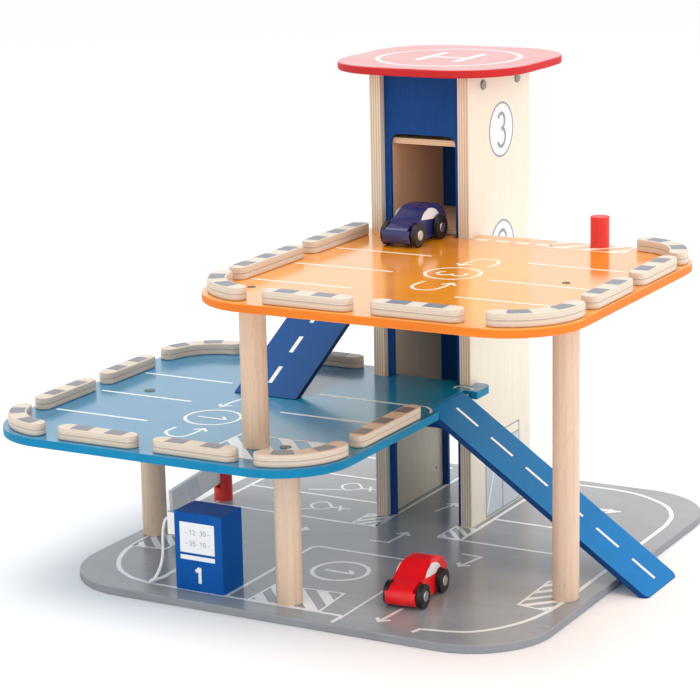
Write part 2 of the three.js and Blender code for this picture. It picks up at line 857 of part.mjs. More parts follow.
addPart('fuel_pump', fuelPump(), material(0x1c3f8f, 0.45));
addPart('pump_nozzle', pumpNozzle(), material(0xf4f4f2, 0.5));
addPart('pump_hose', pumpHose(), material(0xf4f4f2, 0.5));

// Boom barrier: slotted post, arm and pin
const boomInset = 20;
const boomAhead = 19.5;
const boomRadius = 9.9;
const boomHigh = 48;
const boomSlotHalf = 2.7;
const boomSlotFoot = 14;
const armHalfThick = 2.4;
const armHalfHigh = 12.3;
const armLong = 101.4;
const armDip = 5;
const boomPivotHigh = 33;
const boomPinRadius = 1.5;
const boomX = -baseHalfX + boomInset;
const boomY = towerFront - boomAhead;
const boomTop = board + boomHigh;
const boomSlotLow = board + boomSlotFoot;
const boomPivotZ = board + boomPivotHigh;
const armFront = boomY - armLong;

function boomPost() {
  const slotReach = boomRadius + board;
  const slot = block(
    boomX - boomSlotHalf, boomX + boomSlotHalf, boomY - slotReach, boomY + slotReach,
    boomSlotLow, boomTop + board,
  );
  const hole = rodX(
    boomPinRadius + fitGap, boomX - slotReach, boomX + slotReach, boomY, boomPivotZ,
  );
  return post(boomRadius, board, boomTop, boomX, boomY).subtract(slot).subtract(hole);
}

function boomArm() {
  const tail = arc(boomY, boomPivotZ, armHalfHigh, -90, 90, endSteps * 2);
  const low = boomPivotZ - armHalfHigh;
  const high = boomPivotZ + armHalfHigh;
  const shape = [
    new THREE.Vector2(armFront, high),
    new THREE.Vector2(armFront, low),
    ...tail,
  ];
  const hole = rodX(
    boomPinRadius + fitGap, boomX - boomRadius, boomX + boomRadius, boomY, boomPivotZ,
  );
  const arm = sideShape(shape, boomX - armHalfThick, boomX + armHalfThick).subtract(hole);
  const level = arm.translate([0, -boomY, -boomPivotZ]);
  return level.rotate([armDip, 0, 0]).translate([0, boomY, boomPivotZ]);
}

function boomPin() {
  const reach = Math.sqrt(boomRadius ** 2 - (boomPinRadius + fitGap) ** 2) - fitGap;
  return rodX(boomPinRadius, boomX - reach, boomX + reach, boomY, boomPivotZ);
}

addPart('boom_post', boomPost(), material(0xc9201f, 0.4));
addPart('boom_arm', boomArm(), material(0xb9bcc0, 0.5));
addPart('boom_pin', boomPin(), metal(0xb0b0b0, 0.35));

// Toy cars: the body is drawn in side view with its nose towards -Y
const carHalf = 15.5;
const carRoofHalf = 14.3;
const carWaist = 20;
const carHeight = 36.3;
const carLength = 83;
const carRound = 6;
const carCorner = 3;
const carWheelRadius = 11.5;
const carWheelThick = 4.7;
const carHubRadius = 5;
const carHubProud = 0.6;
const carAxleRadius = 1.5;
const wheelbaseShare = 0.5783;
const frontOverhangShare = 0.1614;
const wheelbase = wheelbaseShare * carLength;
const frontOverhang = frontOverhangShare * carLength;
const sideGap = 0.4;
const archDeep = 3.4;
const archGap = 0.7;
const axlePlay = 2;
const axleHeight = carWheelRadius + fitGap;
const carLineShares = [
  [0.037, 0.11], [0.007, 0.22], [0.01, 0.386], [0.049, 0.51], [0.146, 0.592], [0.268, 0.647],
  [0.354, 0.716], [0.439, 0.826], [0.537, 0.937], [0.646, 0.992], [0.756, 0.972], [0.854, 0.882],
  [0.927, 0.73], [0.976, 0.551], [1, 0.358], [0.988, 0.193], [0.963, 0.11],
];
const carCurveSteps = 40;

// Places of the cars: middle of the front axle, height of the road, turn about Z
const redFromFront = 74.6;
const blueAhead = 57.4;
const redCar = { name: 'red_car', x: 102.2, y: -baseHalfY + redFromFront, road: board, turn: 5 };
const blueCar = { name: 'blue_car', x: 9, y: towerFront - blueAhead, road: secondTop, turn: 0 };

function place(solid, car) {
  return solid.rotate([0, 0, car.turn]).translate([car.x, car.y, car.road]);
}

// Round pockets in both flanks, in which the wheels turn
function wheelArches(y) {
  const radius = carWheelRadius + archGap;
  const floor = carHalf - archDeep;
  const left = rodX(radius, -carHalf - board, -floor, y, axleHeight);
  return left.add(rodX(radius, floor, carHalf + board, y, axleHeight));
}

function carBody(car) {
  const line = carLineShares.map(([back, up]) => new THREE.Vector2(
    back * carLength - frontOverhang, up * carHeight,
  ));
  const shape = new THREE.SplineCurve(line).getPoints(carCurveSteps).reverse();
  const start = -carHalf - board;
  const stop = carHalf + board;
  const frontHole = rodX(carAxleRadius + fitGap, start, stop, 0, axleHeight);
  const rearHole = rodX(carAxleRadius + fitGap, start, stop, wheelbase, axleHeight);
  const plan = plate(roundedBox(
    -carHalf, carHalf, -frontOverhang, carLength - frontOverhang, carCorner,
  ), 0, carHeight);
  const across = frontShape(outline([
    [-carHalf, 0, 0],
    [carHalf, 0, 0],
    [carHalf, carWaist, carRound, softSteps],
    [carRoofHalf, carHeight, carRound, softSteps],
    [-carRoofHalf, carHeight, carRound, softSteps],
    [-carHalf, carWaist, carRound, softSteps],
  ]), -carLength, carLength);
  const body = sideShape(shape, -carHalf, carHalf).intersect(plan).intersect(across);
  const hollow = wheelArches(0).add(wheelArches(wheelbase)).add(frontHole).add(rearHole);
  return place(body.subtract(hollow), car);
}

// The axle has play: the wheels stand off to one side
function wheelSet(car, y) {
  const inner = carHalf - archDeep + sideGap + axlePlay;
  const outer = inner + carWheelThick;
  const end = outer + carHubProud;
  const profile = [
    [0, -end],
    [carHubRadius, -end],
    [carHubRadius, -outer],
    [carWheelRadius, -outer],
    [carWheelRadius, -inner],
    [carAxleRadius, -inner],
    [carAxleRadius, inner],
    [carWheelRadius, inner],
    [carWheelRadius, outer],
    [carHubRadius, outer],
    [carHubRadius, end],
    [0, end],
  ];
  const set = alongX(turned(profile, dowelSides)).translate([axlePlay, y, axleHeight]);
  return place(set, car);
}

function addCar(car, color) {
  addPart(`${car.name}_body`, carBody(car), material(color, 0.35));
  addPart(`${car.name}_axle_front`, wheelSet(car, 0), material(0x1b1a19, 0.5));
  addPart(`${car.name}_axle_rear`, wheelSet(car, wheelbase), material(0x1b1a19, 0.5));
}

addCar(redCar, 0xc3141e);
addCar(blueCar, 0x2b3480);

export default group;
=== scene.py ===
# %% [markdown]
# A wooden toy parking garage: a grey base board, a blue and an orange parking deck, a plywood
# tower with a lift cabin, two ramps, turned beech posts and two small cars.
# The solids come ready from the frame. This file dresses them: eased edges, paint, plywood and
# beech, and every printed line. The toy's lengths are written in millimetres and turned into
# metres by the factor mm. Lamps and bump depths are in metres.

# %% The frame and its box
import math
import bpy
import numpy as np
from mathutils import Matrix, Vector
from mathutils.bvhtree import BVHTree


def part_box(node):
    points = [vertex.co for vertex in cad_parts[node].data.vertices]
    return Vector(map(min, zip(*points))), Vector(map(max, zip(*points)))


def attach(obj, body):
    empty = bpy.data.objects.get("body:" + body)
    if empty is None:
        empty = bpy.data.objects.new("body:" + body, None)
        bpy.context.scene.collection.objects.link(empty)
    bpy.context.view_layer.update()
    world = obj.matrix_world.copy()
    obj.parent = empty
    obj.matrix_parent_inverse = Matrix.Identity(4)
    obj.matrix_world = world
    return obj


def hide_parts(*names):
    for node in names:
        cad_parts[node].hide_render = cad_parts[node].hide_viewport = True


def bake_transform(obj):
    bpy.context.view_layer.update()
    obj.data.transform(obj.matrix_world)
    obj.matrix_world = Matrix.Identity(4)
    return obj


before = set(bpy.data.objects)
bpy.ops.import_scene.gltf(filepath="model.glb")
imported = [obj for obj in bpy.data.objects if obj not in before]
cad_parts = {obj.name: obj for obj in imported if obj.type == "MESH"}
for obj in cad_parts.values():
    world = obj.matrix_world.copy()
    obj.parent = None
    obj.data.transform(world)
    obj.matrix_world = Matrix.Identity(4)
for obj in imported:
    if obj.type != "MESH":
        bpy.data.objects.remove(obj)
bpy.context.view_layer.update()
mm = 0.001
node_names = sorted(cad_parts)

# %% [markdown]
# Prints lie on the solids, and plywood layers fill them from side to side. So the levels and
# faces they need are read off the solids' boxes and not typed again.


# %% Levels and faces taken from the solids
def sides_of(node, axis):
    """Lowest and highest X, Y or Z of a solid at rest, in millimetres."""
    return [round(corner[axis] / mm, 3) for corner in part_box(node)]


board_top = sides_of("base_board", 2)[1]
first_top = sides_of("deck_level_1", 2)[1]
second_top = sides_of("deck_level_2", 2)[1]
pad_top = sides_of("helipad", 2)[1]
tower_left_inner = sides_of("tower_side_left", 0)[1]
tower_right = sides_of("tower_side_right", 0)[1]
pump_front = sides_of("fuel_pump", 1)[0]
print("levels:", board_top, first_top, second_top, pad_top)

# %% [markdown]
# The camera stands to the right of the garage and a little above it, about 2.5 m away, so the
# lens is long. A turn about Z, a tip up from straight down and a small roll give its direction.

# %% Camera
camera_place = np.array([1097.5, -2064.4, 763.8]) * mm
camera_turn = math.radians(29.1)
camera_lift = math.radians(13.53)
camera_roll = math.radians(-1.147)
focal_pixels = 2424.0
picture_pixels = 700.0
sensor = 36.0

camera_data = bpy.data.cameras.new("camera")
camera_data.sensor_width = sensor
camera_data.lens = focal_pixels / picture_pixels * sensor
camera_data.shift_x = -1.0 / picture_pixels
camera_data.shift_y = 1.0 / picture_pixels
camera = bpy.data.objects.new("camera", camera_data)
camera.matrix_world = (
    Matrix.Translation(Vector(camera_place))
    @ Matrix.Rotation(camera_turn, 4, "Z")
    @ Matrix.Rotation(math.pi / 2 - camera_lift, 4, "X")
    @ Matrix.Rotation(camera_roll, 4, "Z")
)
bpy.context.scene.collection.objects.link(camera)
bpy.context.scene.camera = camera
print(f"camera with a {camera_data.lens:.1f} mm lens")

# %% [markdown]
# A finish is a material. Its maths is easier to read as Python than as a web of nodes, so a
# small class wraps a socket: 1 - mask or height * 0.5 then adds the Math node by itself. One
# method of the finish adds every other kind of node.


# %% Shader sums written as Python
finishes = {}
finish_of = {}


class Reading:
    """A number, colour or vector that the finish reads off the surface."""

    def __init__(self, finish, socket):
        self.finish = finish
        self.socket = socket

    def sum(self, operation, other=0.0, swapped=False):
        """Adds a Math node that joins this reading and the other one."""
        first, second = (other, self) if swapped else (self, other)
        return self.finish.add("ShaderNodeMath", {0: first, 1: second}, {"operation": operation})

    def __add__(self, other):
        return self.sum("ADD", other)

    def __sub__(self, other):
        return self.sum("SUBTRACT", other)

    def __rsub__(self, other):
        return self.sum("SUBTRACT", other, swapped=True)

    def __mul__(self, other):
        return self.sum("MULTIPLY", other)

    def __gt__(self, other):
        return self.sum("GREATER_THAN", other)

    def __lt__(self, other):
        return self.sum("LESS_THAN", other)

    __radd__ = __add__
    __rmul__ = __mul__


class Finish:
    """A material in the making: its node tree, its shader and one method for any node."""

    def __init__(self, name):
        self.material = bpy.data.materials.new(name)
        finishes[name] = self.material
        self.material.use_nodes = True
        self.tree = self.material.node_tree
        self.shader = self.tree.nodes["Principled BSDF"]

    def add(self, kind, values=None, settings=None, out=0):
        """Adds a node: its settings first, then the values or links of its sockets."""
        node = self.tree.nodes.new(kind)
        for name, value in (settings or {}).items():
            setattr(node, name, value)
        for key, value in (values or {}).items():
            self.join(node.inputs[key], value)
        return Reading(self, node.outputs[out])

    def join(self, socket, value):
        """Links a reading to the socket, or writes the number or colour into it."""
        if isinstance(value, Reading):
            self.tree.links.new(value.socket, socket)
        elif hasattr(value, "__len__") and len(value) == 3 and socket.type == "RGBA":
            socket.default_value = (*value, 1.0)
        else:
            socket.default_value = value

    def set(self, **values):
        """Sets the shader's own sockets: base_color is Base Color."""
        for name, value in values.items():
            socket = name.replace("_", " ").title().replace("Ior", "IOR")
            self.join(self.shader.inputs[socket], value)

    def place(self, across=1.0, along=None, axis=0):
        """Object coordinates times across, but times along on one axis: a noise runs long there."""
        scale = [across] * 3
        scale[axis] = across if along is None else along
        spot = self.add("ShaderNodeTexCoord", out="Object")
        return self.add("ShaderNodeMapping", {"Vector": spot, "Scale": scale})

    def axis(self, place, number):
        """The X, Y or Z of a place."""
        return self.add("ShaderNodeSeparateXYZ", {0: place}, out=number)

    def noise(self, place, scale, detail=3.0, rough=0.5, warp=0.0):
        """Cloudy numbers round one half, scale clouds to the metre."""
        values = {"Vector": place, "Scale": scale, "Detail": detail, "Roughness": rough}
        return self.add("ShaderNodeTexNoise", {**values, "Distortion": warp})

    def mix(self, first, second, share):
        """Colour mix: first where share is 0, second where it is 1; 6 and 7 take the colours."""
        values = {0: share, 6: first, 7: second}
        return self.add("ShaderNodeMix", values, {"data_type": "RGBA"}, out=2)

    def ramp(self, share, *stops):
        """Bends a number: a straight line between two (place, value) stops, level beyond them."""
        reading = self.add("ShaderNodeValToRGB", {0: share})
        elements = reading.socket.node.color_ramp.elements
        for element, (place, value) in zip(elements, stops):
            element.position = place
            element.color = (value, value, value, 1.0)
        return reading

    def bump(self, height, strength, depth):
        """Lets the light see a relief: height 0 to 1 stands for 0 to depth metres."""
        values = {"Strength": strength, "Distance": depth, "Height": height}
        self.join(self.shader.inputs["Normal"], self.add("ShaderNodeBump", values))


print("shader helper ready")

# %% [markdown]
# The boards are plywood under a satin lacquer colour. The veneer's long grain still shows
# through as faint ridges, so the paint gets stretched noise as bump and a slight drift of tone.


# %% Painted boards
def painted_board(name, colour, gloss, along=0, coat=0.0, mirror=0.5):
    """Tone = half the noise stretched along the grain + half a wide cloud; height = the grain.
    A mirror of 0.5 is plain paint, 0 has no glint of its own."""
    finish = Finish(name)
    grain = finish.noise(finish.place(60.0, 4.0, along), 9.0, 4.0, 0.6)
    cloud = finish.noise(finish.place(), 14.0, 2.0)
    darker = tuple(0.86 * c for c in colour)
    lighter = tuple(min(1.0, 1.05 * c + 0.004) for c in colour)
    tone = finish.ramp(grain * 0.5 + cloud * 0.5, (0.36, 0.0), (0.64, 1.0))
    finish.set(
        base_color=finish.mix(darker, lighter, tone),
        roughness=finish.ramp(cloud, (0.3, gloss - 0.04), (0.7, gloss + 0.05)),
        coat_weight=coat, coat_roughness=0.12, specular_ior_level=mirror,
    )
    finish.bump(grain, 0.25, 0.00012)


# Each rim finish below is a darker, duller copy of the paint before it, for a board's side faces: the
# darker colour is painted shade.
painted_board("grey_board_paint", (0.32, 0.34, 0.36), 0.22, coat=0.25, mirror=0.4)
painted_board("grey_board_rim", (0.27, 0.285, 0.31), 0.6, mirror=0.2)
painted_board("blue_deck_paint", (0.003, 0.225, 0.43), 0.2, coat=0.5, mirror=0.45)
painted_board("blue_deck_rim", (0.002, 0.215, 0.42), 0.5, mirror=0.12)
painted_board("orange_deck_paint", (1.0, 0.335, 0.01), 0.16, coat=0.7, mirror=0.5)
painted_board("orange_deck_rim", (0.78, 0.195, 0.016), 0.5, mirror=0.15)
painted_board("red_pad_paint", (0.64, 0.026, 0.026), 0.22, coat=0.65)
painted_board("red_pad_rim", (0.54, 0.02, 0.023), 0.5, mirror=0.15)
painted_board("blue_panel_paint", (0.004, 0.062, 0.26), 0.5, along=2, mirror=0.12)
painted_board("ramp_paint", (0.004, 0.195, 0.52), 0.45, mirror=0.12)
painted_board("ramp_rim", (0.002, 0.05, 0.2), 0.55, mirror=0.15)
# The upper ramp's paint is darker than the lower ramp's as painted shade under the orange deck.
painted_board("upper_ramp_paint", (0.005, 0.078, 0.28), 0.45, along=1, mirror=0.15)
painted_board("upper_ramp_rim", (0.003, 0.028, 0.12), 0.55, along=1, mirror=0.15)
painted_board("pump_paint", (0.001, 0.092, 0.38), 0.45, along=2, mirror=0.1)
painted_board("red_dowel_paint", (0.8, 0.05, 0.045), 0.4, along=2, mirror=0.3)
painted_board("boom_arm_paint", (0.95, 0.95, 0.95), 0.4, along=1)
painted_board("white_wood_paint", (0.86, 0.86, 0.85), 0.4, along=2)
print(len(finishes), "paints")

# %% [markdown]
# Plywood is a stack of thin veneers with the grain crossed in turn. On a face one sees calm
# pale veneer; on a cut edge the layers show as stripes: long grain pale, end grain brown, and
# a hair of dark glue between. The stripe number comes from the depth inside the board.


# %% Plywood
glue_share = 0.09
eased_share = 0.22


def plywood(name, node, axis, layers, pale, brown, along=2, contrast=1.0, groove=0.0):
    """Stripe = floor(layers * (depth - start) / (end - start)) mod 2; glue = fraction below a share.
    The stack fills the node from side to side, and its eased corners show no stripes. A groove
    is a sunk line at half the thickness, groove layers wide, darkened in colour as painted shade."""
    finish = Finish(name)
    start, end = (side * mm for side in sides_of(node, axis))
    depth = finish.axis(finish.place(), axis)
    count = (depth - start) * (layers / (end - start))
    odd = count.sum("FLOOR").sum("MODULO", 2.0) > 0.5
    part = count.sum("FRACT")
    glue = (part < glue_share) * contrast
    within = (count > eased_share) * (count < layers - eased_share)
    grain = finish.noise(finish.place(95.0, 3.0, along), 6.0, 5.0, 0.65, 0.3)
    pores = finish.noise(finish.place(400.0), 5.0, 2.0)
    figure = finish.ramp(grain, (0.35, 0.0), (0.7, 1.0))
    deep = tuple(0.9 * c for c in pale[:2]) + (0.84 * pale[2],)
    face = finish.mix(pale, deep, figure)
    edge = finish.mix(face, brown, odd * (0.75 * contrast) + (pores - 0.5) * 0.3 * odd)
    edge = finish.mix(edge, tuple(0.45 * c for c in brown), glue * 0.75)
    relief = grain + odd * within * 0.6
    if groove:
        # The groove is sunk in the bump and darkened in colour: painted shade in the groove.
        line = (count - layers / 2).sum("ABSOLUTE") < groove / 2
        edge = finish.mix(edge, tuple(0.3 * c for c in brown), line * 0.5)
        relief = relief - line * 2.5
    finish.set(
        base_color=finish.mix(face, edge, within),
        roughness=finish.ramp(grain, (0.3, 0.42), (0.7, 0.56)),
        coat_weight=0.12, coat_roughness=0.3,
    )
    finish.bump(relief, 0.3, 0.00015)
    finish_of[node] = name


birch = (0.815, 0.755, 0.64)
birch_edge = (0.6, 0.37, 0.22)
kerb_pale = (0.7, 0.62, 0.53)
kerb_brown = (0.66, 0.49, 0.36)
cabin_pale = (0.87, 0.61, 0.41)
kerb_layers = 8
board_layers = 9
rail_layers = 11
shelf_layers = 5
wall_layers = 3
for number in (1, 2):
    node = f"kerb_{number}_front_left"
    plywood(f"kerb_wood_{number}", node, 2, kerb_layers, kerb_pale, kerb_brown, 0, 0.7, 0.7)
for side in ("left", "right"):
    plywood(f"tower_{side}_wood", f"tower_side_{side}", 0, board_layers, birch, birch_edge)
    plywood(f"cabin_{side}_wood", f"cabin_side_{side}", 0, wall_layers, cabin_pale, birch_edge, 2, 0.5)
for end in ("front", "back"):
    plywood(f"{end}_rail_wood", f"tower_rail_{end}", 1, rail_layers, birch, birch_edge, 0)
for part in ("floor", "roof"):
    plywood(f"cabin_{part}_wood", f"cabin_{part}", 2, shelf_layers, cabin_pale, birch_edge, 1, 0.6)
print(len(finishes), "finishes with the plywood")

# %% [markdown]
# The posts are steamed beech dowels: pinkish tan, with the long grain and short dark flecks of
# that wood. Both are noises stretched along the dowel, one wide and one fine.


# %% Beech, steel, rubber and lacquer
def turned_beech(name, along=2):
    """Grain = noise stretched 35 times along the dowel, flecks = finer noise past a limit."""
    finish = Finish(name)
    grain = finish.noise(finish.place(70.0, 2.0, along), 3.0, 4.0, 0.6, 0.4)
    specks = finish.noise(finish.place(420.0, 50.0, along), 2.0, 2.0)
    fleck = finish.ramp(specks, (0.6, 0.0), (0.72, 1.0))
    tone = finish.ramp(grain, (0.35, 0.0), (0.68, 1.0))
    colour = finish.mix((0.7, 0.52, 0.385), (0.62, 0.44, 0.31), tone)
    finish.set(
        base_color=finish.mix(colour, (0.46, 0.3, 0.19), fleck * 0.45),
        roughness=finish.ramp(grain, (0.3, 0.42), (0.7, 0.55)),
        coat_weight=0.15, coat_roughness=0.3,
    )
    finish.bump(grain + fleck * -0.3, 0.25, 0.00015)


def bare_metal(name, colour, rough):
    """Metal with roughness that drifts with a fine noise."""
    finish = Finish(name)
    mottle = finish.noise(finish.place(300.0), 4.0, 3.0)
    finish.set(
        base_color=finish.mix(colour, tuple(0.8 * c for c in colour), mottle),
        metallic=1.0, roughness=finish.ramp(mottle, (0.3, rough - 0.06), (0.7, rough + 0.08)),
    )
    finish.bump(mottle, 0.1, 0.00005)


def smooth_coat(name, colour, rough, coat):
    """Thick lacquer, rubber or plastic: small drift of tone, light orange-peel bump."""
    finish = Finish(name)
    cloud = finish.noise(finish.place(), 60.0, 2.0)
    peel = finish.noise(finish.place(), 900.0, 1.0)
    finish.set(
        base_color=finish.mix(colour, tuple(0.92 * c for c in colour), cloud),
        roughness=finish.ramp(cloud, (0.3, rough - 0.03), (0.7, rough + 0.04)),
        coat_weight=coat, coat_roughness=0.08,
    )
    finish.bump(peel, 0.06, 0.0001)


turned_beech("beech_post")
turned_beech("beech_shaft", along=1)
bare_metal("bright_steel", (0.78, 0.77, 0.75), 0.28)
bare_metal("dull_steel", (0.33, 0.32, 0.31), 0.42)
smooth_coat("red_lacquer", (0.86, 0.002, 0.008), 0.38, 0.05)
smooth_coat("blue_lacquer", (0.013, 0.02, 0.125), 0.3, 0.4)
smooth_coat("tyre_black", (0.006, 0.006, 0.007), 0.5, 0.05)
smooth_coat("hose_white", (0.82, 0.82, 0.79), 0.45, 0.1)
smooth_coat("window_silver", (0.9, 0.89, 0.9), 0.22, 0.5)
smooth_coat("recess_shade_paint", (0.03, 0.028, 0.026), 0.6, 0.0)
print(len(finishes), "finishes so far")

# %% [markdown]
# The lift cord is a thin twisted cotton cord. Its strands are slanted ridges: the angle round
# the cord plus the height, sent through a sine. The colour follows the same wave, darker in the
# grooves between strands as painted shade.


# %% Twisted cord
def twisted_cord(name, x, y, pitch):
    """Stripe = sin(angle round the cord + 2 pi z / pitch), as bump and as painted shade between
    strands.
    """
    finish = Finish(name)
    across, back, up = (finish.axis(finish.place(), number) for number in range(3))
    angle = (back - y).sum("ARCTAN2", across - x)
    strands_and_shade = (angle * 3.0 + up * (2.0 * math.pi / pitch)).sum("SINE") * 0.5 + 0.5
    # The darker tone between the strands is painted shade.
    finish.set(
        base_color=finish.mix((0.62, 0.6, 0.54), (0.88, 0.87, 0.82), strands_and_shade), roughness=0.85,
    )
    finish.bump(strands_and_shade, 0.6, 0.0002)


twisted_cord("cotton_cord", 0.0, 0.125, 3.0 * mm)
print("cord finish ready")

# %% [markdown]
# A solid takes its finish by its name. The side faces of a painted board get a finish of their own:
# duller, as the sawn rim takes the paint more matte, and darker in colour as painted shade.
# Real boards have no knife edges: they are sanded round. A Weld joins the loose triangles,
# Decimate joins those of one flat face, and Bevel rounds the edges that turn by more than 35
# degrees. The solid itself stays as it is.

# %% Which solid wears which finish
finish_of.update({
    "base_board": "grey_board_paint", "deck_level_1": "blue_deck_paint",
    "deck_level_2": "orange_deck_paint", "helipad": "red_pad_paint",
    "tower_panel": "blue_panel_paint", "rail_bolt": "dull_steel", "post": "beech_post",
    "kerb_1": "kerb_wood_1", "kerb_2": "kerb_wood_2", "ramp_ground": "ramp_paint",
    "ramp_upper": "upper_ramp_paint", "ramp_ground_pin": "bright_steel",
    "ramp_upper_rod": "bright_steel", "boom_pin": "bright_steel", "boom_post": "red_dowel_paint",
    "boom_arm": "boom_arm_paint", "traffic_peg": "red_dowel_paint", "crank": "beech_shaft",
    "crank_knob": "red_dowel_paint", "lift_cord": "cotton_cord", "fuel_pump": "pump_paint",
    "pump_nozzle": "white_wood_paint", "red_car_body": "red_lacquer",
    "blue_car_body": "blue_lacquer",
})
edge_of = {
    "base_board": 1.2, "deck_level_1": 1.2, "deck_level_2": 1.2, "helipad": 1.4,
    "ramp_ground": 0.4, "ramp_upper": 0.4, "boom_arm": 1.0, "boom_post": 1.0,
    "fuel_pump": 3.8, "pump_nozzle": 1.6, "red_car_body": 2.4, "blue_car_body": 2.4,
}
kerb_edge = 1.5
plain_edge = 0.6
sharp_turn = math.radians(35.0)


def finish_for(node):
    """Entry of the longest name that the node's name starts with; only wheel sets have none."""
    names = [name for name in finish_of if node.startswith(name)]
    return finish_of[max(names, key=len)] if names else "tyre_black"


def ease_edges(node, width):
    """Weld, join flat faces, then bevel every edge that turns more than the limit."""
    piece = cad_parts[node]
    for name, kind, settings in (
        ("joined corners", "WELD", {"merge_threshold": 0.002 * mm}),
        ("flat faces", "DECIMATE", {
            "decimate_type": "DISSOLVE", "angle_limit": math.radians(0.4), "delimit": {"MATERIAL"},
        }),
        ("eased edges", "BEVEL", {
            "width": width * mm, "segments": 3, "limit_method": "ANGLE",
            "angle_limit": sharp_turn, "harden_normals": True,
        }),
    ):
        modifier = piece.modifiers.new(name, kind)
        for setting, value in settings.items():
            setattr(modifier, setting, value)
    piece.data.polygons.foreach_set("use_smooth", [True] * len(piece.data.polygons))
    own_normals = piece.data.attributes.get("custom_normal")
    if own_normals:
        piece.data.attributes.remove(own_normals)


def face_vectors(mesh, kind):
    """The normal or the center of every face, one to a row."""
    values = np.zeros(len(mesh.polygons) * 3)
    mesh.polygons.foreach_get(kind, values)
    return values.reshape(-1, 3)


def repaint(mesh, chosen, finish):
    """The chosen faces get a second finish."""
    mesh.materials.append(finishes[finish])
    mesh.polygons.foreach_set("material_index", chosen.astype(np.int32))
    mesh.update()


for node in node_names:
    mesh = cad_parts[node].data
    finish = finish_for(node)
    mesh.materials.clear()
    mesh.materials.append(finishes[finish])
    # The side faces take the darker rim copy of the paint: painted shade.
    shaded_rim = finish.replace("_paint", "_rim")
    if shaded_rim != finish and shaded_rim in finishes:
        repaint(mesh, np.abs(face_vectors(mesh, "normal")[:, 2]) <= 0.5, shaded_rim)
    if node not in ("lift_cord", "pump_hose"):
        usual = kerb_edge if node.startswith("kerb_") else plain_edge
        ease_edges(node, edge_of.get(node, usual))
print(len(node_names), "solids dressed")

# %% [markdown]
# A wheel set is one turned piece: black tyres, bright hub caps and a steel axle between. The
# distance of a face's middle from the axle's line and its place along the line say which it is.
# Both axles of a car rest at the right end of their play.


# %% Wheels
car_places = {"red_car": (102.2, -183.4, board_top, 5.0), "blue_car": (9.0, -3.4, second_top, 0.0)}
axle_high = 11.8
axle_play = 2.0
wheel_base = 48.0
hub_radius = 5.1
hub_start = 19.25
axle_radius = 2.0
axle_reach = 14.45


def car_ways(turn_degrees):
    """Unit vectors to the car's right and to its rear."""
    turn = math.radians(turn_degrees)
    across = np.array([math.cos(turn), math.sin(turn), 0.0])
    rearward = np.array([-math.sin(turn), math.cos(turn), 0.0])
    return across, rearward


def paint_wheels(node, middle, across):
    """Hub: near the axle's line and beyond the tyre; axle: nearer still, between the tyres."""
    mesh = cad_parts[node].data
    away = face_vectors(mesh, "center") - middle
    along = away @ across
    radius = np.linalg.norm(away - along[:, None] * across, axis=1)
    hub = (radius < hub_radius * mm) & (np.abs(along) > hub_start * mm)
    axle = (radius < axle_radius * mm) & (np.abs(along) < axle_reach * mm)
    repaint(mesh, hub | axle, "bright_steel")
    return int(hub.sum())


for car, (x, y, road, turn) in car_places.items():
    across, rearward = car_ways(turn)
    for end, back in (("front", 0.0), ("rear", wheel_base)):
        middle = np.array([x, y, road + axle_high]) + back * rearward + axle_play * across
        print(car, end, paint_wheels(f"{car}_axle_{end}", middle * mm, across), "hub faces")

# %% [markdown]
# All lines on the boards are screen-printed ink. A line is a flat ribbon: at each point of its
# path the two sides lie half a width to the left and right, and at a corner they are pushed
# out by 1 / cos(half the turn), so the width stays even.


# %% Flat shapes for the prints
def ribbon(points, width, closed=False):
    """Sides = point +- normal * width / 2 / cos(half turn), joined by a row of quads."""
    line = np.asarray(points, float)
    ways = np.diff(np.vstack([line, line[:1]]) if closed else line, axis=0)
    ways /= np.linalg.norm(ways, axis=1)[:, None]
    before = np.roll(ways, 1, axis=0) if closed else np.vstack([ways[:1], ways])
    after = ways if closed else np.vstack([ways, ways[-1:]])
    middle = before + after
    middle /= np.linalg.norm(middle, axis=1)[:, None]
    normal = np.column_stack([-middle[:, 1], middle[:, 0]])
    stretch = 1.0 / np.maximum((middle * after).sum(axis=1), 0.5)
    offset = normal * (width / 2 * stretch)[:, None]
    count = len(line)
    step = np.arange(count if closed else count - 1)
    following = (step + 1) % count
    faces = np.column_stack([step + count, following + count, following, step])
    return np.vstack([line + offset, line - offset]), faces.tolist()


def ribbons(paths, width):
    """One ribbon to each path."""
    return [ribbon(path, width) for path in paths]


def patch(corners):
    """One flat face with the given corners, counter-clockwise."""
    corners = np.asarray(corners, float)
    return corners, [list(range(len(corners)))]


def oblong(x0, x1, y0, y1):
    """The patch between two values of x and two of y."""
    return patch([(x0, y0), (x1, y0), (x1, y1), (x0, y1)])


def arc(centre, radius, start, end, steps=24):
    """Points centre + radius * (cos, sin) at even angles from start to end, in degrees."""
    angles = np.radians(np.linspace(start, end, steps + 1))
    return np.asarray(centre) + radius * np.column_stack([np.cos(angles), np.sin(angles)])


def ring(centre, radius, width):
    """A closed ribbon along 72 points of a circle."""
    return ribbon(arc(centre, radius, 0, 360.0 * 71 / 72, 71), width, closed=True)


def disc(centre, radius):
    """A patch with 48 corners on a circle."""
    return patch(arc(centre, radius, 0, 360.0 * 47 / 48, 47))


def clipped(corners, way, low, high):
    """The part of a convex patch where low < dot(point, way) < high."""
    for side, limit in ((1, low), (-1, -high)):
        kept = []
        for here, ahead in zip(corners, corners[1:] + corners[:1]):
            a = side * np.dot(here, way) - limit
            b = side * np.dot(ahead, way) - limit
            if a >= 0:
                kept.append(here)
            if a * b < 0:
                kept.append(tuple(np.asarray(here) + (np.asarray(ahead) - here) * a / (a - b)))
        corners = kept
        if len(corners) < 3:
            return []
    return corners


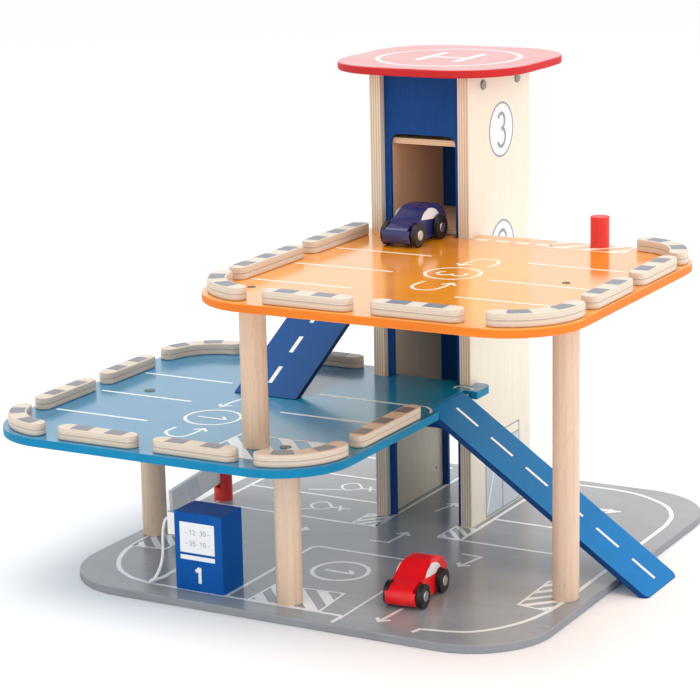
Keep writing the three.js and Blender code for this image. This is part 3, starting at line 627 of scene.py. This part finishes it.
def hatch(corners, degrees, stripe, pitch, border=2.6):
    """Outline of a convex field, filled with slanted stripes that are its own clipped bands."""
    along = math.radians(degrees)
    way = np.array([-math.sin(along), math.cos(along)])
    reach = np.asarray(corners) @ way
    shapes = [ribbon(corners, border, closed=True)]
    for low in np.arange(reach.min() + 0.3 * pitch, reach.max(), pitch):
        band = clipped(list(corners), way, low, low + stripe)
        if band:
            shapes.append(patch(band))
    return shapes


def arrow(points, width, head):
    """A line with a head of two barbs, each turned 42 degrees off the way back."""
    line = np.asarray(points, float)
    tip = line[-1]
    way = tip - line[-2]
    back = math.degrees(math.atan2(-way[1], -way[0]))
    barbs = [arc(tip, head, back + s, back + s, 0)[0] for s in (-42, 42)]
    return ribbons([line, [barbs[0], tip, barbs[1]]], width)


def smoothed(points, steps=8):
    """Catmull-Rom curve through the points, as arrays."""
    p = np.asarray(points, float)
    p = np.vstack([2 * p[0] - p[1], p, 2 * p[-1] - p[-2]])
    t = np.linspace(0, 1, steps, endpoint=False)[:, None, None]
    a, b, c, d = p[:-3], p[1:-2], p[2:-1], p[3:]
    curve = 0.5 * (
        2 * b + (c - a) * t + (2 * a - 5 * b + 4 * c - d) * t**2 + (3 * b - a - 3 * c + d) * t**3
    )
    return np.vstack([curve.transpose(1, 0, 2).reshape(-1, p.shape[1]), p[-2:-1]])


print("print shapes ready")

# %% [markdown]
# Plain figures for the storeys and the pump's dial, drawn from strokes in a box that is one
# unit high. A figure is placed by its middle, its height and the direction that is up for it.

# %% Figures
bowl_low = arc((0, -0.23), 0.27, -155, 90, 20)
bowl_high = arc((0, 0.25), 0.23, -90, 155, 20)
full_turn = np.linspace(0, 6.2832, 33)
strokes_of = {
    "0": [np.column_stack([0.27 * np.cos(full_turn), 0.5 * np.sin(full_turn)])],
    "1": [[(0.08, -0.5), (0.08, 0.5)], [(0.08, 0.47), (-0.2, 0.22)]],
    "2": [np.vstack([arc((0, 0.22), 0.28, 165, -35, 18), [(-0.28, -0.47), (0.3, -0.47)]])],
    "3": [bowl_low, bowl_high],
    "5": [np.vstack([
        [(0.24, 0.47), (-0.18, 0.47), (-0.22, 0.06)], arc((0, -0.19), 0.3, 125, -150, 18),
    ])],
    "H": [[(-0.32, -0.5), (-0.32, 0.5)], [(0.32, -0.5), (0.32, 0.5)], [(-0.32, -0.06), (0.32, -0.06)]],
}
print(len(strokes_of), "figures")


def figure(sign, middle, high, up_degrees, width):
    """Stroke points times the height, turned so that the figure's up points to up_degrees."""
    turn = math.radians(up_degrees - 90)
    spin = np.array([[math.cos(turn), math.sin(turn)], [-math.sin(turn), math.cos(turn)]])
    return ribbons([np.asarray(line) * high @ spin + middle for line in strokes_of[sign]], width)


# %% [markdown]
# A new piece is a mesh of points and faces, worked out with numpy. It gets its finish and the
# body it moves with, always in the same way.


# %% Any new piece
def new_piece(name, points, faces, finish, body=None, smooth=False):
    """A mesh from points in metres, in its finish and on its body."""
    mesh = bpy.data.meshes.new(name)
    mesh.from_pydata(np.asarray(points).tolist(), [], faces)
    mesh.materials.append(finishes[finish])
    mesh.polygons.foreach_set("use_smooth", np.full(len(mesh.polygons), smooth))
    mesh.update()
    piece = bpy.data.objects.new(name, mesh)
    bpy.context.scene.collection.objects.link(piece)
    if body:
        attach(piece, body)
    return piece


def ring_faces(rows, sides):
    """Quads between neighbouring rows of a grid whose columns close into a ring."""
    row = np.arange(rows - 1)[:, None] * sides
    step = np.arange(sides)[None, :]
    ahead = (step + 1) % sides
    faces = np.stack([row + step, row + ahead, row + sides + ahead, row + sides + step], axis=-1)
    return faces.reshape(-1, 4).tolist()


print("piece helpers ready")

# %% [markdown]
# Ink has hardly any thickness: a print lies 0.06 mm above its board. Two strokes that cross in
# one plane would flicker, so each shape lies a hundredth of a millimetre above the one before;
# after eight it starts again. A print is made flat, then a function puts it in its place.

# %% Ink finishes and the laying of prints
ink_lift = 0.06
coat_step = 0.01
coats = 8


def ink(name, colour, under, wear=0.25, rough=0.35, coat=0.3):
    """Printed ink: its own colour, thinned by a fine noise towards the board's colour."""
    finish = Finish(name)
    speck = finish.noise(finish.place(), 700.0, 3.0, 0.7)
    thin = finish.ramp(speck, (0.42, 0.0), (0.75, wear))
    finish.set(
        base_color=finish.mix(colour, under, thin),
        roughness=finish.ramp(speck, (0.3, rough), (0.7, rough + 0.1)),
        coat_weight=coat, coat_roughness=0.15,
    )


ink("white_on_grey", (0.95, 0.96, 0.97), (0.33, 0.345, 0.365), 0.05, coat=1.0)
ink("white_on_blue", (0.74, 0.86, 0.92), (0.02, 0.245, 0.49), 0.12)
ink("white_on_orange", (0.95, 0.84, 0.66), (0.9, 0.245, 0.018), 0.12)
ink("white_on_red", (0.94, 0.84, 0.83), (0.7, 0.018, 0.024), 0.12)
ink("bright_white", (0.86, 0.88, 0.9), (0.02, 0.08, 0.3), 0.1)
ink("kerb_grey", (0.155, 0.175, 0.225), (0.8, 0.62, 0.35), 0.2, 0.45)
ink("dial_white", (0.84, 0.85, 0.87), (0.6, 0.62, 0.66), 0.15)
ink("dial_grey", (0.33, 0.34, 0.37), (0.84, 0.85, 0.87), 0.3)
ink("line_blue_grey", (0.2, 0.24, 0.32), (0.86, 0.735, 0.53), 0.25)
ink("glass_blue_grey", (0.5, 0.55, 0.62), (0.86, 0.735, 0.53), 0.1)
ink("boom_grey", (0.82, 0.83, 0.85), (0.95, 0.95, 0.95), 0.3)


def lay_print(name, finish, shapes, to_space, body="frame", lift=ink_lift):
    """Point = to_space(x, y) + (lift + coat) * normal, where normal = its x axis cross its y axis."""
    corner, right, up = to_space(np.array([(0.0, 0.0), (1.0, 0.0), (0.0, 1.0)]))
    normal = np.cross(right - corner, up - corner)
    points, faces, first = [], [], 0
    for number, (corners, rows) in enumerate(shapes):
        rise = lift + coat_step * (number % coats)
        points.append(to_space(np.asarray(corners, float)) + rise * normal)
        faces += [[first + place for place in row] for row in rows]
        first += len(corners)
    new_piece(name, np.vstack(points) * mm, faces, finish, body)
    print(name, len(faces), "faces")


def level(z):
    """(x, y) -> (x, y, z): a print on a horizontal board."""
    return lambda p: np.column_stack([p, np.full(len(p), z)])


def facing_right(x):
    """(y, z) -> (x, y, z): a print on a face that looks to the right."""
    return lambda p: np.column_stack([np.full(len(p), x), p])


def facing_front(y):
    """(x, z) -> (x, y, z): a print on a face that looks to the front."""
    return lambda p: np.column_stack([p[:, 0], np.full(len(p), y), p[:, 1]])


# %% [markdown]
# The ground floor: a rounded road edge, bays with thin lines, hatched fields at the feet of
# posts and tower, turning arrows, a numbered bay and two small spanner signs.

# %% Prints on the base board
line_width = 4.0
edge_width = 4.6
left_edge = np.vstack([
    [(-60, -232.5), (-148, -231.5)],
    smoothed([(-172, -226.5), (-196, -211), (-214, -187), (-226, -157), (-229.5, -130)]),
    [(-230, -100), (-230, 150)],
    arc((-170, 180), 60, 180, 100),
    [(-130, 240), (-60, 240)],
])
right_edge = np.vstack([
    [(140.5, -243), (143, -233), (150, -231)],
    smoothed([(168, -227.5), (188, -219), (206, -200), (221, -170), (228, -138), (230, -110)]),
    [(230, -60), (229, 140)],
    smoothed([(228.5, 150), (223, 178), (209, 204), (188, 222), (160, 236), (132, 241)]),
    [(60, 241)],
])
ground_lines = [
    [(-60, -232.5), (61, -232.5), (64.5, -238), (64.5, -66)],
    [(63, -238), (62.5, -252)],
    [(-62, -232), (-62, -70), (-56, -64), (64.5, -64)],
    [(-147, -231), (-147, -180)],
    [(-230, 16), (-64, 16)], [(-230, 90), (-56, 90)],
    [(-230, 165), (-56, 165)], [(-36.5, 19), (-36.5, 240)],
    [(36, 14), (170, 14)], [(62, 14), (62, 240)], [(62, 91.5), (170, 91.5)],
    [(62, 170), (170, 170)],
]


def spanner(x, y):
    """An open ring with a handle and two ticks."""
    jaw = [(19, -9), (9, -12), (-1, 0), (3, 11), (12, 13), (24, 0)]
    return ribbons([
        smoothed(np.array(jaw, float) + (x, y)), [(x - 28, y - 27), (x + 6, y - 14)],
        [(x + 19, y - 9), (x + 24, y), (x + 45, y + 2)], [(x + 29, y + 9), (x + 37, y - 7)],
    ], 2.8)


ground = ribbons(ground_lines, line_width) + ribbons([left_edge, right_edge], edge_width)
for corners, degrees, stripe, pitch in (
    ([(-38, -230.5), (38, -230.5), (35, -178), (-37, -183)], -48, 10, 20),
    ([(-227, -141), (-192, -139), (-190, -98), (-228, -98)], -48, 6.5, 15),
    ([(195, -135), (228, -139), (229, -70), (194, -62)], 45, 6.5, 15),
    ([(-64, 17), (-37, 17), (-40, 53.5), (-63, 53.5)], 48, 5, 10),
    ([(36, 16), (62, 16), (60, 53.5), (38, 53.5)], -48, 5, 11),
):
    ground += hatch(corners, degrees, stripe, pitch)
ground += [ring((-0.1, -122.1), 27.6, 4.2)] + figure("1", (0, -122), 32, 0, 4.2)
for line, head in (
    ([(104, -191), (100.5, -231)], 11), ([(-21, -25), (0, -24), (2, 13)], 11),
    ([(-5, 90), (3, 124)], 11), ([(82, -24), (104, -25), (97, -59)], 11),
    ([(140, 167), (164, 167)], 10), ([(-120, -22), (-94, -21)], 10),
):
    ground += arrow(line, 3.8, head)
ground += spanner(-137, 130) + spanner(-133, 56)
lay_print("print_base", "white_on_grey", ground, level(board_top))

# %% [markdown]
# Both decks carry parking bays along their free sides and a storey number in a ring with two
# turning arrows. The second arrow of a pair is the first one turned half round the ring.


# %% Prints on the blue deck
def turning_pair(line, centre):
    """An arrow and the same one half round the centre: 2 * centre - point."""
    return arrow(line, 3.4, 11) + arrow(2 * np.asarray(centre) - line, 3.4, 11)


turn_centre = (-116.5, -159)
turn_line = smoothed([
    (-130, -204), (-130, -221), (-119, -231.5), (-107, -230), (-103, -218), (-102.5, -197),
])
deck_line = 4.2
deck_1 = ribbons([
    [(-275, -37), (-169, -37)], [(-275, -116.5), (-169, -116.5)],
    [(-274, -196), (-168, -196)], [(-67, -115), (45, -115)],
    [(-67, -40), (38, -40)],
], deck_line)
deck_1 += [ring(turn_centre, 27, 3.4)] + figure("1", (-116, -159), 32, 0, 3.2)
deck_1 += turning_pair(turn_line, turn_centre)
deck_1 += hatch([(-62, -268), (24, -268), (28, -195), (-60, -198)], -48, 11.5, 23.5)
deck_1 += ribbons([
    smoothed([(44, 38), (45, 47), (58, 46), (65, 39.5)]),
    smoothed([(45, -37.8), (53, -38.4), (63, -49), (66, -57)]),
], 2.6)
lay_print("print_deck_1", "white_on_blue", deck_1, level(first_top))

# %% Prints on the orange deck
roof_centre = (119.5, -104.5)
roof_turn = smoothed([
    (107, -144), (105, -157), (107, -170), (116, -178), (127, -176), (133, -165), (134, -142),
])
deck_2 = ribbons([
    [(-45, -37.5), (60, -37.5)], [(-45, -118), (60, -118)],
    [(-45, -197.5), (60, -197.5)], [(158.5, -33), (265, -34.5)],
    [(159, -116.5), (260, -118.5)], [(162, -193.5), (263, -193.5)],
], deck_line)
deck_2 += [ring((115, -103), 26, 3.4)] + figure("3", (115, -104.5), 29, 0, 3.4)
deck_2 += turning_pair(roof_turn, roof_centre)
deck_2 += hatch([(143, 45), (222, 45), (222, 77), (143, 77)], 45, 9, 20)
deck_2 += [oblong(x, x + 15, 49, 59) for x in (62, 84, 106, 128)]
lay_print("print_deck_2", "white_on_orange", deck_2, level(second_top))

# %% Print on the roof pad
pad_middle = (1, 120.5)
pad_shapes = [ring(pad_middle, 72, 5.2)] + figure("H", (1, 124.5), 68, 90, 8.5)
lay_print("print_helipad", "white_on_red", pad_shapes, level(pad_top))

# %% [markdown]
# The tower's right side shows a number on a ringed white disc at both upper storeys and, on the
# ground, a glazed door with a lintel and a white glint across each pane.

# %% Prints on the tower's right side
side_face = facing_right(tower_right)
number_places = {"3": (128.5, 407), "2": (129.5, 287)}
discs = [disc(place, 27.5) for place in number_places.values()]
lay_print("print_number_grounds", "dial_white", discs, side_face)
door_left, door_middle, door_right = 88, 128, 168
door_low, door_high, door_top = 10, 84, 94.5
panes = [
    oblong(door_left, door_middle - 0.6, door_low, door_high),
    oblong(door_middle + 0.6, door_right, door_low, door_high),
]
lay_print("print_door_panes", "glass_blue_grey", panes, side_face)
over = 3 * ink_lift
side_lines = [ring(place, 27, 2) for place in number_places.values()]
for sign, place in number_places.items():
    side_lines += figure(sign, place, 34, 90, 3.6)
side_lines += ribbons([
    [(door_left, door_low), (door_right, door_low), (door_right, door_top),
     (door_left, door_top), (door_left, door_low)],
    [(door_left, door_high), (door_right, door_high)],
    [(door_middle, door_low), (door_middle, door_high)],
], 1.3)
lay_print("print_side_lines", "line_blue_grey", side_lines, side_face, lift=over)
glints = ribbons([[(91, 15), (112, 68)], [(133, 40), (148, 78)]], 3)
lay_print("print_door_glints", "bright_white", glints, side_face, lift=over)

# %% [markdown]
# The pump's dial is a white field with two rows of figures, a white strip and the number of
# the pump. The figures are of no real reading.


# %% Prints on the pump
row_start = -99.5
row_pitch = 3.9


def row_of(signs, z):
    """Small figures at an even pitch; a full stop is a dot."""
    shapes = []
    for place, sign in enumerate(signs):
        middle = (row_start + place * row_pitch, z)
        shapes += [disc(middle, 0.4)] if sign == "." else figure(sign, middle, 4.6, 90, 0.7)
    return shapes


pump_face = facing_front(pump_front)
fields = [oblong(-111.3, -73, 45.5, 75.5), oblong(-111.3, -73, 38.6, 43)]
fields += figure("1", (-91.5, 24), 15.7, 90, 3.4)
lay_print("print_pump_fields", "dial_white", fields, pump_face)
dial = row_of("12.30", 66) + row_of("35.10", 55)
dial += ribbons([[(x, z), (x + 2.5, z)] for z in (65.5, 54.5) for x in (-105.5, -80.5)], 0.6)
lay_print("print_pump_dial", "dial_grey", dial, pump_face, lift=over)

# %% [markdown]
# A broken white line runs down the middle of each ramp. A dash is an oblong in the ramp's own
# plane: one coordinate runs along the slope, the other across it.


# %% Prints on the ramps
def on_slope(start, end, across):
    """(along, aside) -> start + along * unit(end - start) + aside * across."""
    start, end, across = (np.asarray(v, float) for v in (start, end, across))
    down = (end - start) / np.linalg.norm(end - start)
    return lambda p: start + p[:, :1] * down + p[:, 1:] * across


def dashes(first, pitch, long, wide, count, aside=0.0):
    """Oblongs at an even pitch along the slope."""
    starts = first + pitch * np.arange(count)
    return [oblong(a, a + long, aside - wide / 2, aside + wide / 2) for a in starts]


slope = on_slope((61.6, -11, first_top), (288.5, -11, 0.9), (0, 1, 0))
ground_dashes = dashes(10.8, 45.2, 28, 4.2, 6, 2.5)
lay_print("print_ramp_ground", "bright_white", ground_dashes, slope, body="ramp_low")
climb = on_slope((-116.6, -68.2, 158.9), (-116.6, 173.2, 281.9), (-1, 0, 0))
upper_dashes = dashes(19, 48, 25.5, 4.6, 5)
lay_print("print_ramp_upper", "bright_white", upper_dashes, climb, body="ramp_high")

# %% [markdown]
# The barrier's arm is white, with one slanted pale grey field on each face. At rest it dips
# five degrees to the front, so the fields are laid out from the pin along the arm.


# %% Prints on the barrier's arm
arm_pin = (-230, 34.5, 41)
arm_half = 2.4
arm_dip = math.radians(5)
field_middle = 58.0
field_wide = 22.0
field_lean = 6.0
field_half_high = 11.2


def along_arm(side):
    """(along, high) -> pin + side * half thickness + along * dipped Y + high * dipped Z."""
    pivot = np.array(arm_pin) + (side * arm_half, 0, 0)
    ahead = np.array([0, -math.cos(arm_dip), -math.sin(arm_dip)])
    above = np.array([0, -math.sin(arm_dip), math.cos(arm_dip)])
    return lambda p: pivot - side * p[:, :1] * ahead + p[:, 1:] * above


for name, side in (("print_arm_right", 1), ("print_arm_left", -1)):
    start = -side * field_middle - field_wide / 2
    end, lean = start + field_wide, -side * field_lean
    low, high = -field_half_high, field_half_high
    field = patch([(start, low), (end, low), (end + lean, high), (start + lean, high)])
    lay_print(name, "boom_grey", [field], along_arm(side), "boom")

# %% [markdown]
# Dark squares mark the tops of the kerbs. On a straight kerb they are oblongs; on a corner kerb
# the same oblong is bent: a short arc ribbon.

# %% Dark squares on the kerbs
square_long = 20.0
square_wide = 14.5
straight_kerbs = {
    1: [("front", -280, (-184, -145.75, -78.75, -40.75)), ("front", 75.5, (-145.25, -107.25)),
        ("side", 59, (-180, -139, -96)), ("side", -287.5, (-180.25, -142.25, -70.25, -32.25))],
    2: [("front", -280, (41, 79, 152, 187)),
        ("side", 288.5, (-170.5, -130, -63.5, -25)),
        ("side", -56.5, (-190, -151, -112, -55, -16, 22))],
}
corner_kerbs = {
    1: [((-230, -222.5), (212, 252)), ((1.5, -222.5), (298, 338)), ((-230, 18), (119, 157))],
    2: [((1, -222.5), (208, 243)), ((231, -222.5), (301, 343)), ((231, 10.5), (30, 70))],
}
bend = 57.5


def kerb_squares(number):
    """Squares of one deck's kerbs, straight and bent."""
    shapes = []
    long, wide = square_long / 2, square_wide / 2
    for kind, line, places in straight_kerbs[number]:
        for place in places:
            across = kind == "front"
            x, y, dx, dy = (place, line, long, wide) if across else (line, place, wide, long)
            shapes.append(oblong(x - dx, x + dx, y - dy, y + dy))
    reach = math.degrees(long / bend)
    for centre, angles in corner_kerbs[number]:
        for angle in angles:
            shapes.append(ribbon(arc(centre, bend, angle + reach, angle - reach, 8), square_wide))
    return shapes


for number in (1, 2):
    kerb_top = level(sides_of(f"kerb_{number}_front_left", 2)[1])
    lay_print(f"print_kerbs_{number}", "kerb_grey", kerb_squares(number), kerb_top)

# %% [markdown]
# Countersunk screws hold the decks on the posts. A head is a shallow turned dish. The driver's
# cross and the gap round the head are not cut: dark slots and a dark ring on it are painted shade.


# %% Screws
def turned(profile, centre, sides=32):
    """Profile (r, z) swept round Z: point = centre + (r cos a, r sin a, z)."""
    angles = np.linspace(0, 2 * np.pi, sides, endpoint=False)
    radius, high = profile.T[:, :, None]
    sweep = np.broadcast_arrays(radius * np.cos(angles), radius * np.sin(angles), high)
    points = np.stack(sweep, axis=-1).reshape(-1, 3) + centre
    top = [list(range((len(profile) - 1) * sides, len(profile) * sides))]
    return points, ring_faces(len(profile), sides) + top


screw_places = {
    "screw_front_left": (-230, -97.5, first_top), "screw_front_middle": (0.5, -220.5, first_top),
    "screw_upper": (-26, -229, second_top), "screw_right": (227.5, -99.5, second_top),
}
head_profile = np.array([(1, 0.02), (0.95, 0.24), (0.75, 0.32), (0.3, 0.36)])
for name, (x, y, z) in screw_places.items():
    head_radius = 5.4 if z == first_top else 3.8
    points, faces = turned(head_profile * (head_radius, 1), (x, y, z))
    new_piece(name, points * mm, faces, "dull_steel", "frame")
    # The cross slots and the ring round the head are flat dark ink: painted shade of the recesses.
    half = 0.55 * head_radius
    ends = ((half, half / 2), (half / 2, -half))
    recess_shade = ribbons([[(x - dx, y - dy), (x + dx, y + dy)] for dx, dy in ends], 0.9)
    recess_shade.append(ring((x, y), 0.92 * head_radius, 0.16 * head_radius))
    lay_print(name + "_cross", "recess_shade_paint", recess_shade, level(z + 0.34))

# %% A screw low on the inner face of the tower's left board
inner_screw = [disc((168.5, 30), 1.7)]
lay_print("screw_inner", "dull_steel", inner_screw, facing_right(tower_left_inner))

# %% [markdown]
# The side windows of the cars are silver paint that follows the curved flank. A flat grid in
# the shape of the window is shot sideways at the body, and each point stays where it lands.


# %% Car windows
def window_grid(low, high, rows=10, columns=22):
    """Grid between the lower and the upper edge of the window: z = low + t (high - low)."""
    s = np.linspace(low[0, 0], low[-1, 0], columns)
    z_low = np.interp(s, low[:, 0], low[:, 1])
    z_high = np.interp(s, high[:, 0], high[:, 1])
    t = np.linspace(0, 1, rows)[:, None]
    return np.stack([np.broadcast_to(s, (rows, columns)), z_low + t * (z_high - z_low)], axis=-1)


shot_from = 40.0
flank_at = 15.0
window_lift = 0.12
window_low = np.array([(14, 24), (27, 22.6), (41, 21.4), (53, 20)])
window_high = np.array([
    (14, 24.2), (17, 28), (20, 30.4), (25, 32.2), (31, 33), (38, 32.4),
    (44, 30.6), (49, 27.6), (52, 23.6), (53, 20.4),
])


def landing(body, starts, way):
    """Where each ray from the starts meets the solid; one that misses stops in the flank's plane."""
    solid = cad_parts[body].data
    corners = [vertex.co for vertex in solid.vertices]
    tree = BVHTree.FromPolygons(corners, [face.vertices for face in solid.polygons])
    hits = [tree.ray_cast(Vector(start), Vector(way))[0] for start in starts]
    stops = starts + (shot_from - flank_at) * mm * way
    return np.array([stop if hit is None else hit for hit, stop in zip(hits, stops)])


def car_window(car, side):
    """Shoots the window grid at the car's flank and lifts it a little off the wood."""
    x, y, road, turn_degrees = car_places[car]
    across, rearward = car_ways(turn_degrees)
    across = across * side
    grid = window_grid(window_low, window_high)
    flat = grid.reshape(-1, 2)
    start = np.array([x, y, road]) + flat[:, :1] * rearward + shot_from * across
    start[:, 2] += flat[:, 1]
    points = landing(f"{car}_body", start * mm, -across) + window_lift * mm * across
    index = np.arange(len(flat)).reshape(grid.shape[:2])
    faces = np.stack([index[:-1, :-1], index[:-1, 1:], index[1:, 1:], index[1:, :-1]], axis=-1)
    faces = faces.reshape(-1, 4)[:, ::-1 if side < 0 else 1]
    name = f"{car}_window_{'right' if side > 0 else 'left'}"
    return new_piece(name, points, faces.tolist(), "window_silver", car, True)


for car in car_places:
    for side in (1, -1):
        print(car_window(car, side).name)

# %% [markdown]
# The pump's hose is a thin limp tube, about 120 mm long. It leaves the nozzle's side, drops to
# the board, turns back in one small loop and goes into the pump's foot. It follows the same
# points as its solid: how far out to the left, back, and up each one is.

# %% The hose
hose_exit = np.array([-125.3, -224.5, 75.0])
out, back, up = np.array([
    (0, 0, 67), (1, 0, 67), (4.5, 0, 66), (7.1, 0, 63.5), (8.6, 0, 59.5), (9.8, -0.3, 52.5),
    (10.2, -0.8, 44.5), (9.8, -1.6, 35.5), (9.8, -3.4, 26), (11, -6.3, 17), (13.6, -9, 9.6),
    (17.2, -10.4, 4.6), (21.4, -8.6, 2.5), (23.2, -4.4, 2.1), (21.4, -0.2, 2.1),
    (17.2, 1.8, 2.7), (11.6, 5, 5.2), (4.2, 9.2, 10), (-7.7, 10.5, 12),
]).T
hose_points = np.column_stack([hose_exit[0] - out, hose_exit[1] + back, board_top + up])
hose_path = smoothed(hose_points, 10) * mm
hose_length = float(np.linalg.norm(np.diff(hose_path, axis=0), axis=1).sum())
hose_radius = 1.5


def tube(path, radius, sides=16):
    """Circle carried along the path: point = path + r (cos a * side + sin a * up)."""
    ways = np.gradient(path, axis=0)
    ways /= np.linalg.norm(ways, axis=1)[:, None]
    side = np.zeros_like(ways)
    side[0] = np.cross(ways[0], (0.0, 1.0, 0.0))
    for i in range(1, len(path)):
        side[i] = side[i - 1] - ways[i] * np.dot(side[i - 1], ways[i])
    side /= np.linalg.norm(side, axis=1)[:, None]
    up = np.cross(ways, side)
    angles = np.linspace(0.0, 2 * np.pi, sides, endpoint=False)
    circle = np.cos(angles)[:, None] * side[:, None] + np.sin(angles)[:, None] * up[:, None]
    points = (path[:, None] + radius * circle).reshape(-1, 3)
    last = (len(path) - 1) * sides
    caps = [list(range(sides))[::-1], list(range(last, last + sides))]
    return points, ring_faces(len(path), sides) + caps


points, faces = tube(hose_path, hose_radius * mm)
hose = new_piece("hose", points, faces, "hose_white", "frame", True)
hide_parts("pump_hose")
print(f"hose {hose_length * 1000:.0f} mm long")

# %% [markdown]
# The lift cord runs straight down from the reel to the cabin's roof. On the real lift more cord
# comes off the reel as the cabin goes down. Here the cord is one straight tube at rest, and it
# moves with no body.

# %% The lift cord
cord_low, cord_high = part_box("lift_cord")
cord_rings = 25
cord_middle = [(low + high) / 2 for low, high in zip(cord_low, cord_high)]
cord_path = np.tile(cord_middle, (cord_rings, 1))
cord_path[:, 2] = np.linspace(cord_high[2], cord_low[2], cord_rings)
cord_radius = (cord_high[0] - cord_low[0]) / 2
points, faces = tube(cord_path, cord_radius)
cord = new_piece("lift_cord_twisted", points, faces, "cotton_cord", smooth=True)
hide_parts("lift_cord")
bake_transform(cord)
print(f"lift cord {(cord_high[2] - cord_low[2]) * 1000:.0f} mm at rest")

# %% [markdown]
# A plain pale floor and a white room around it. A soft lamp to the right makes the tower's right
# side the brightest in the picture. A low one in front reaches the board under the decks, and a
# high one lights the decks themselves.


# %% Floor and light
def soft_lamp(name, place, target, size, power):
    """Square area lamp at place, turned towards target."""
    data = bpy.data.lights.new(name, "AREA")
    data.size = size
    data.energy = power
    lamp = bpy.data.objects.new(name, data)
    lamp.location = place
    lamp.rotation_euler = (Vector(target) - Vector(place)).to_track_quat("-Z", "Y").to_euler()
    bpy.context.scene.collection.objects.link(lamp)


floor_half = 6.0
pale = Finish("pale_floor")
pale.set(base_color=(0.97, 0.97, 0.97), roughness=0.7)
floor_points = [(floor_half * x, floor_half * y, 0.0) for x, y in ((-1, -1), (1, -1), (1, 1), (-1, 1))]
floor = new_piece("floor", floor_points, [[0, 1, 2, 3]], "pale_floor")

world = bpy.data.worlds.new("white_room")
world.use_nodes = True
world.node_tree.nodes["Background"].inputs["Color"].default_value = (1.0, 1.0, 1.0, 1.0)
bpy.context.scene.world = world
soft_lamp("right_lamp", (2.4, 0.0, 1.3), (0.0, 0.0, 0.2), 1.4, 18.0)
soft_lamp("front_lamp", (0.2, -2.8, 0.6), (0.0, 0.0, 0.05), 1.6, 8.0)
soft_lamp("top_lamp", (-0.3, 0.2, 2.8), (0.0, 0.0, 0.2), 2.0, 26.0)
bpy.context.scene.view_settings.view_transform = "Standard"
print("floor and three lamps")
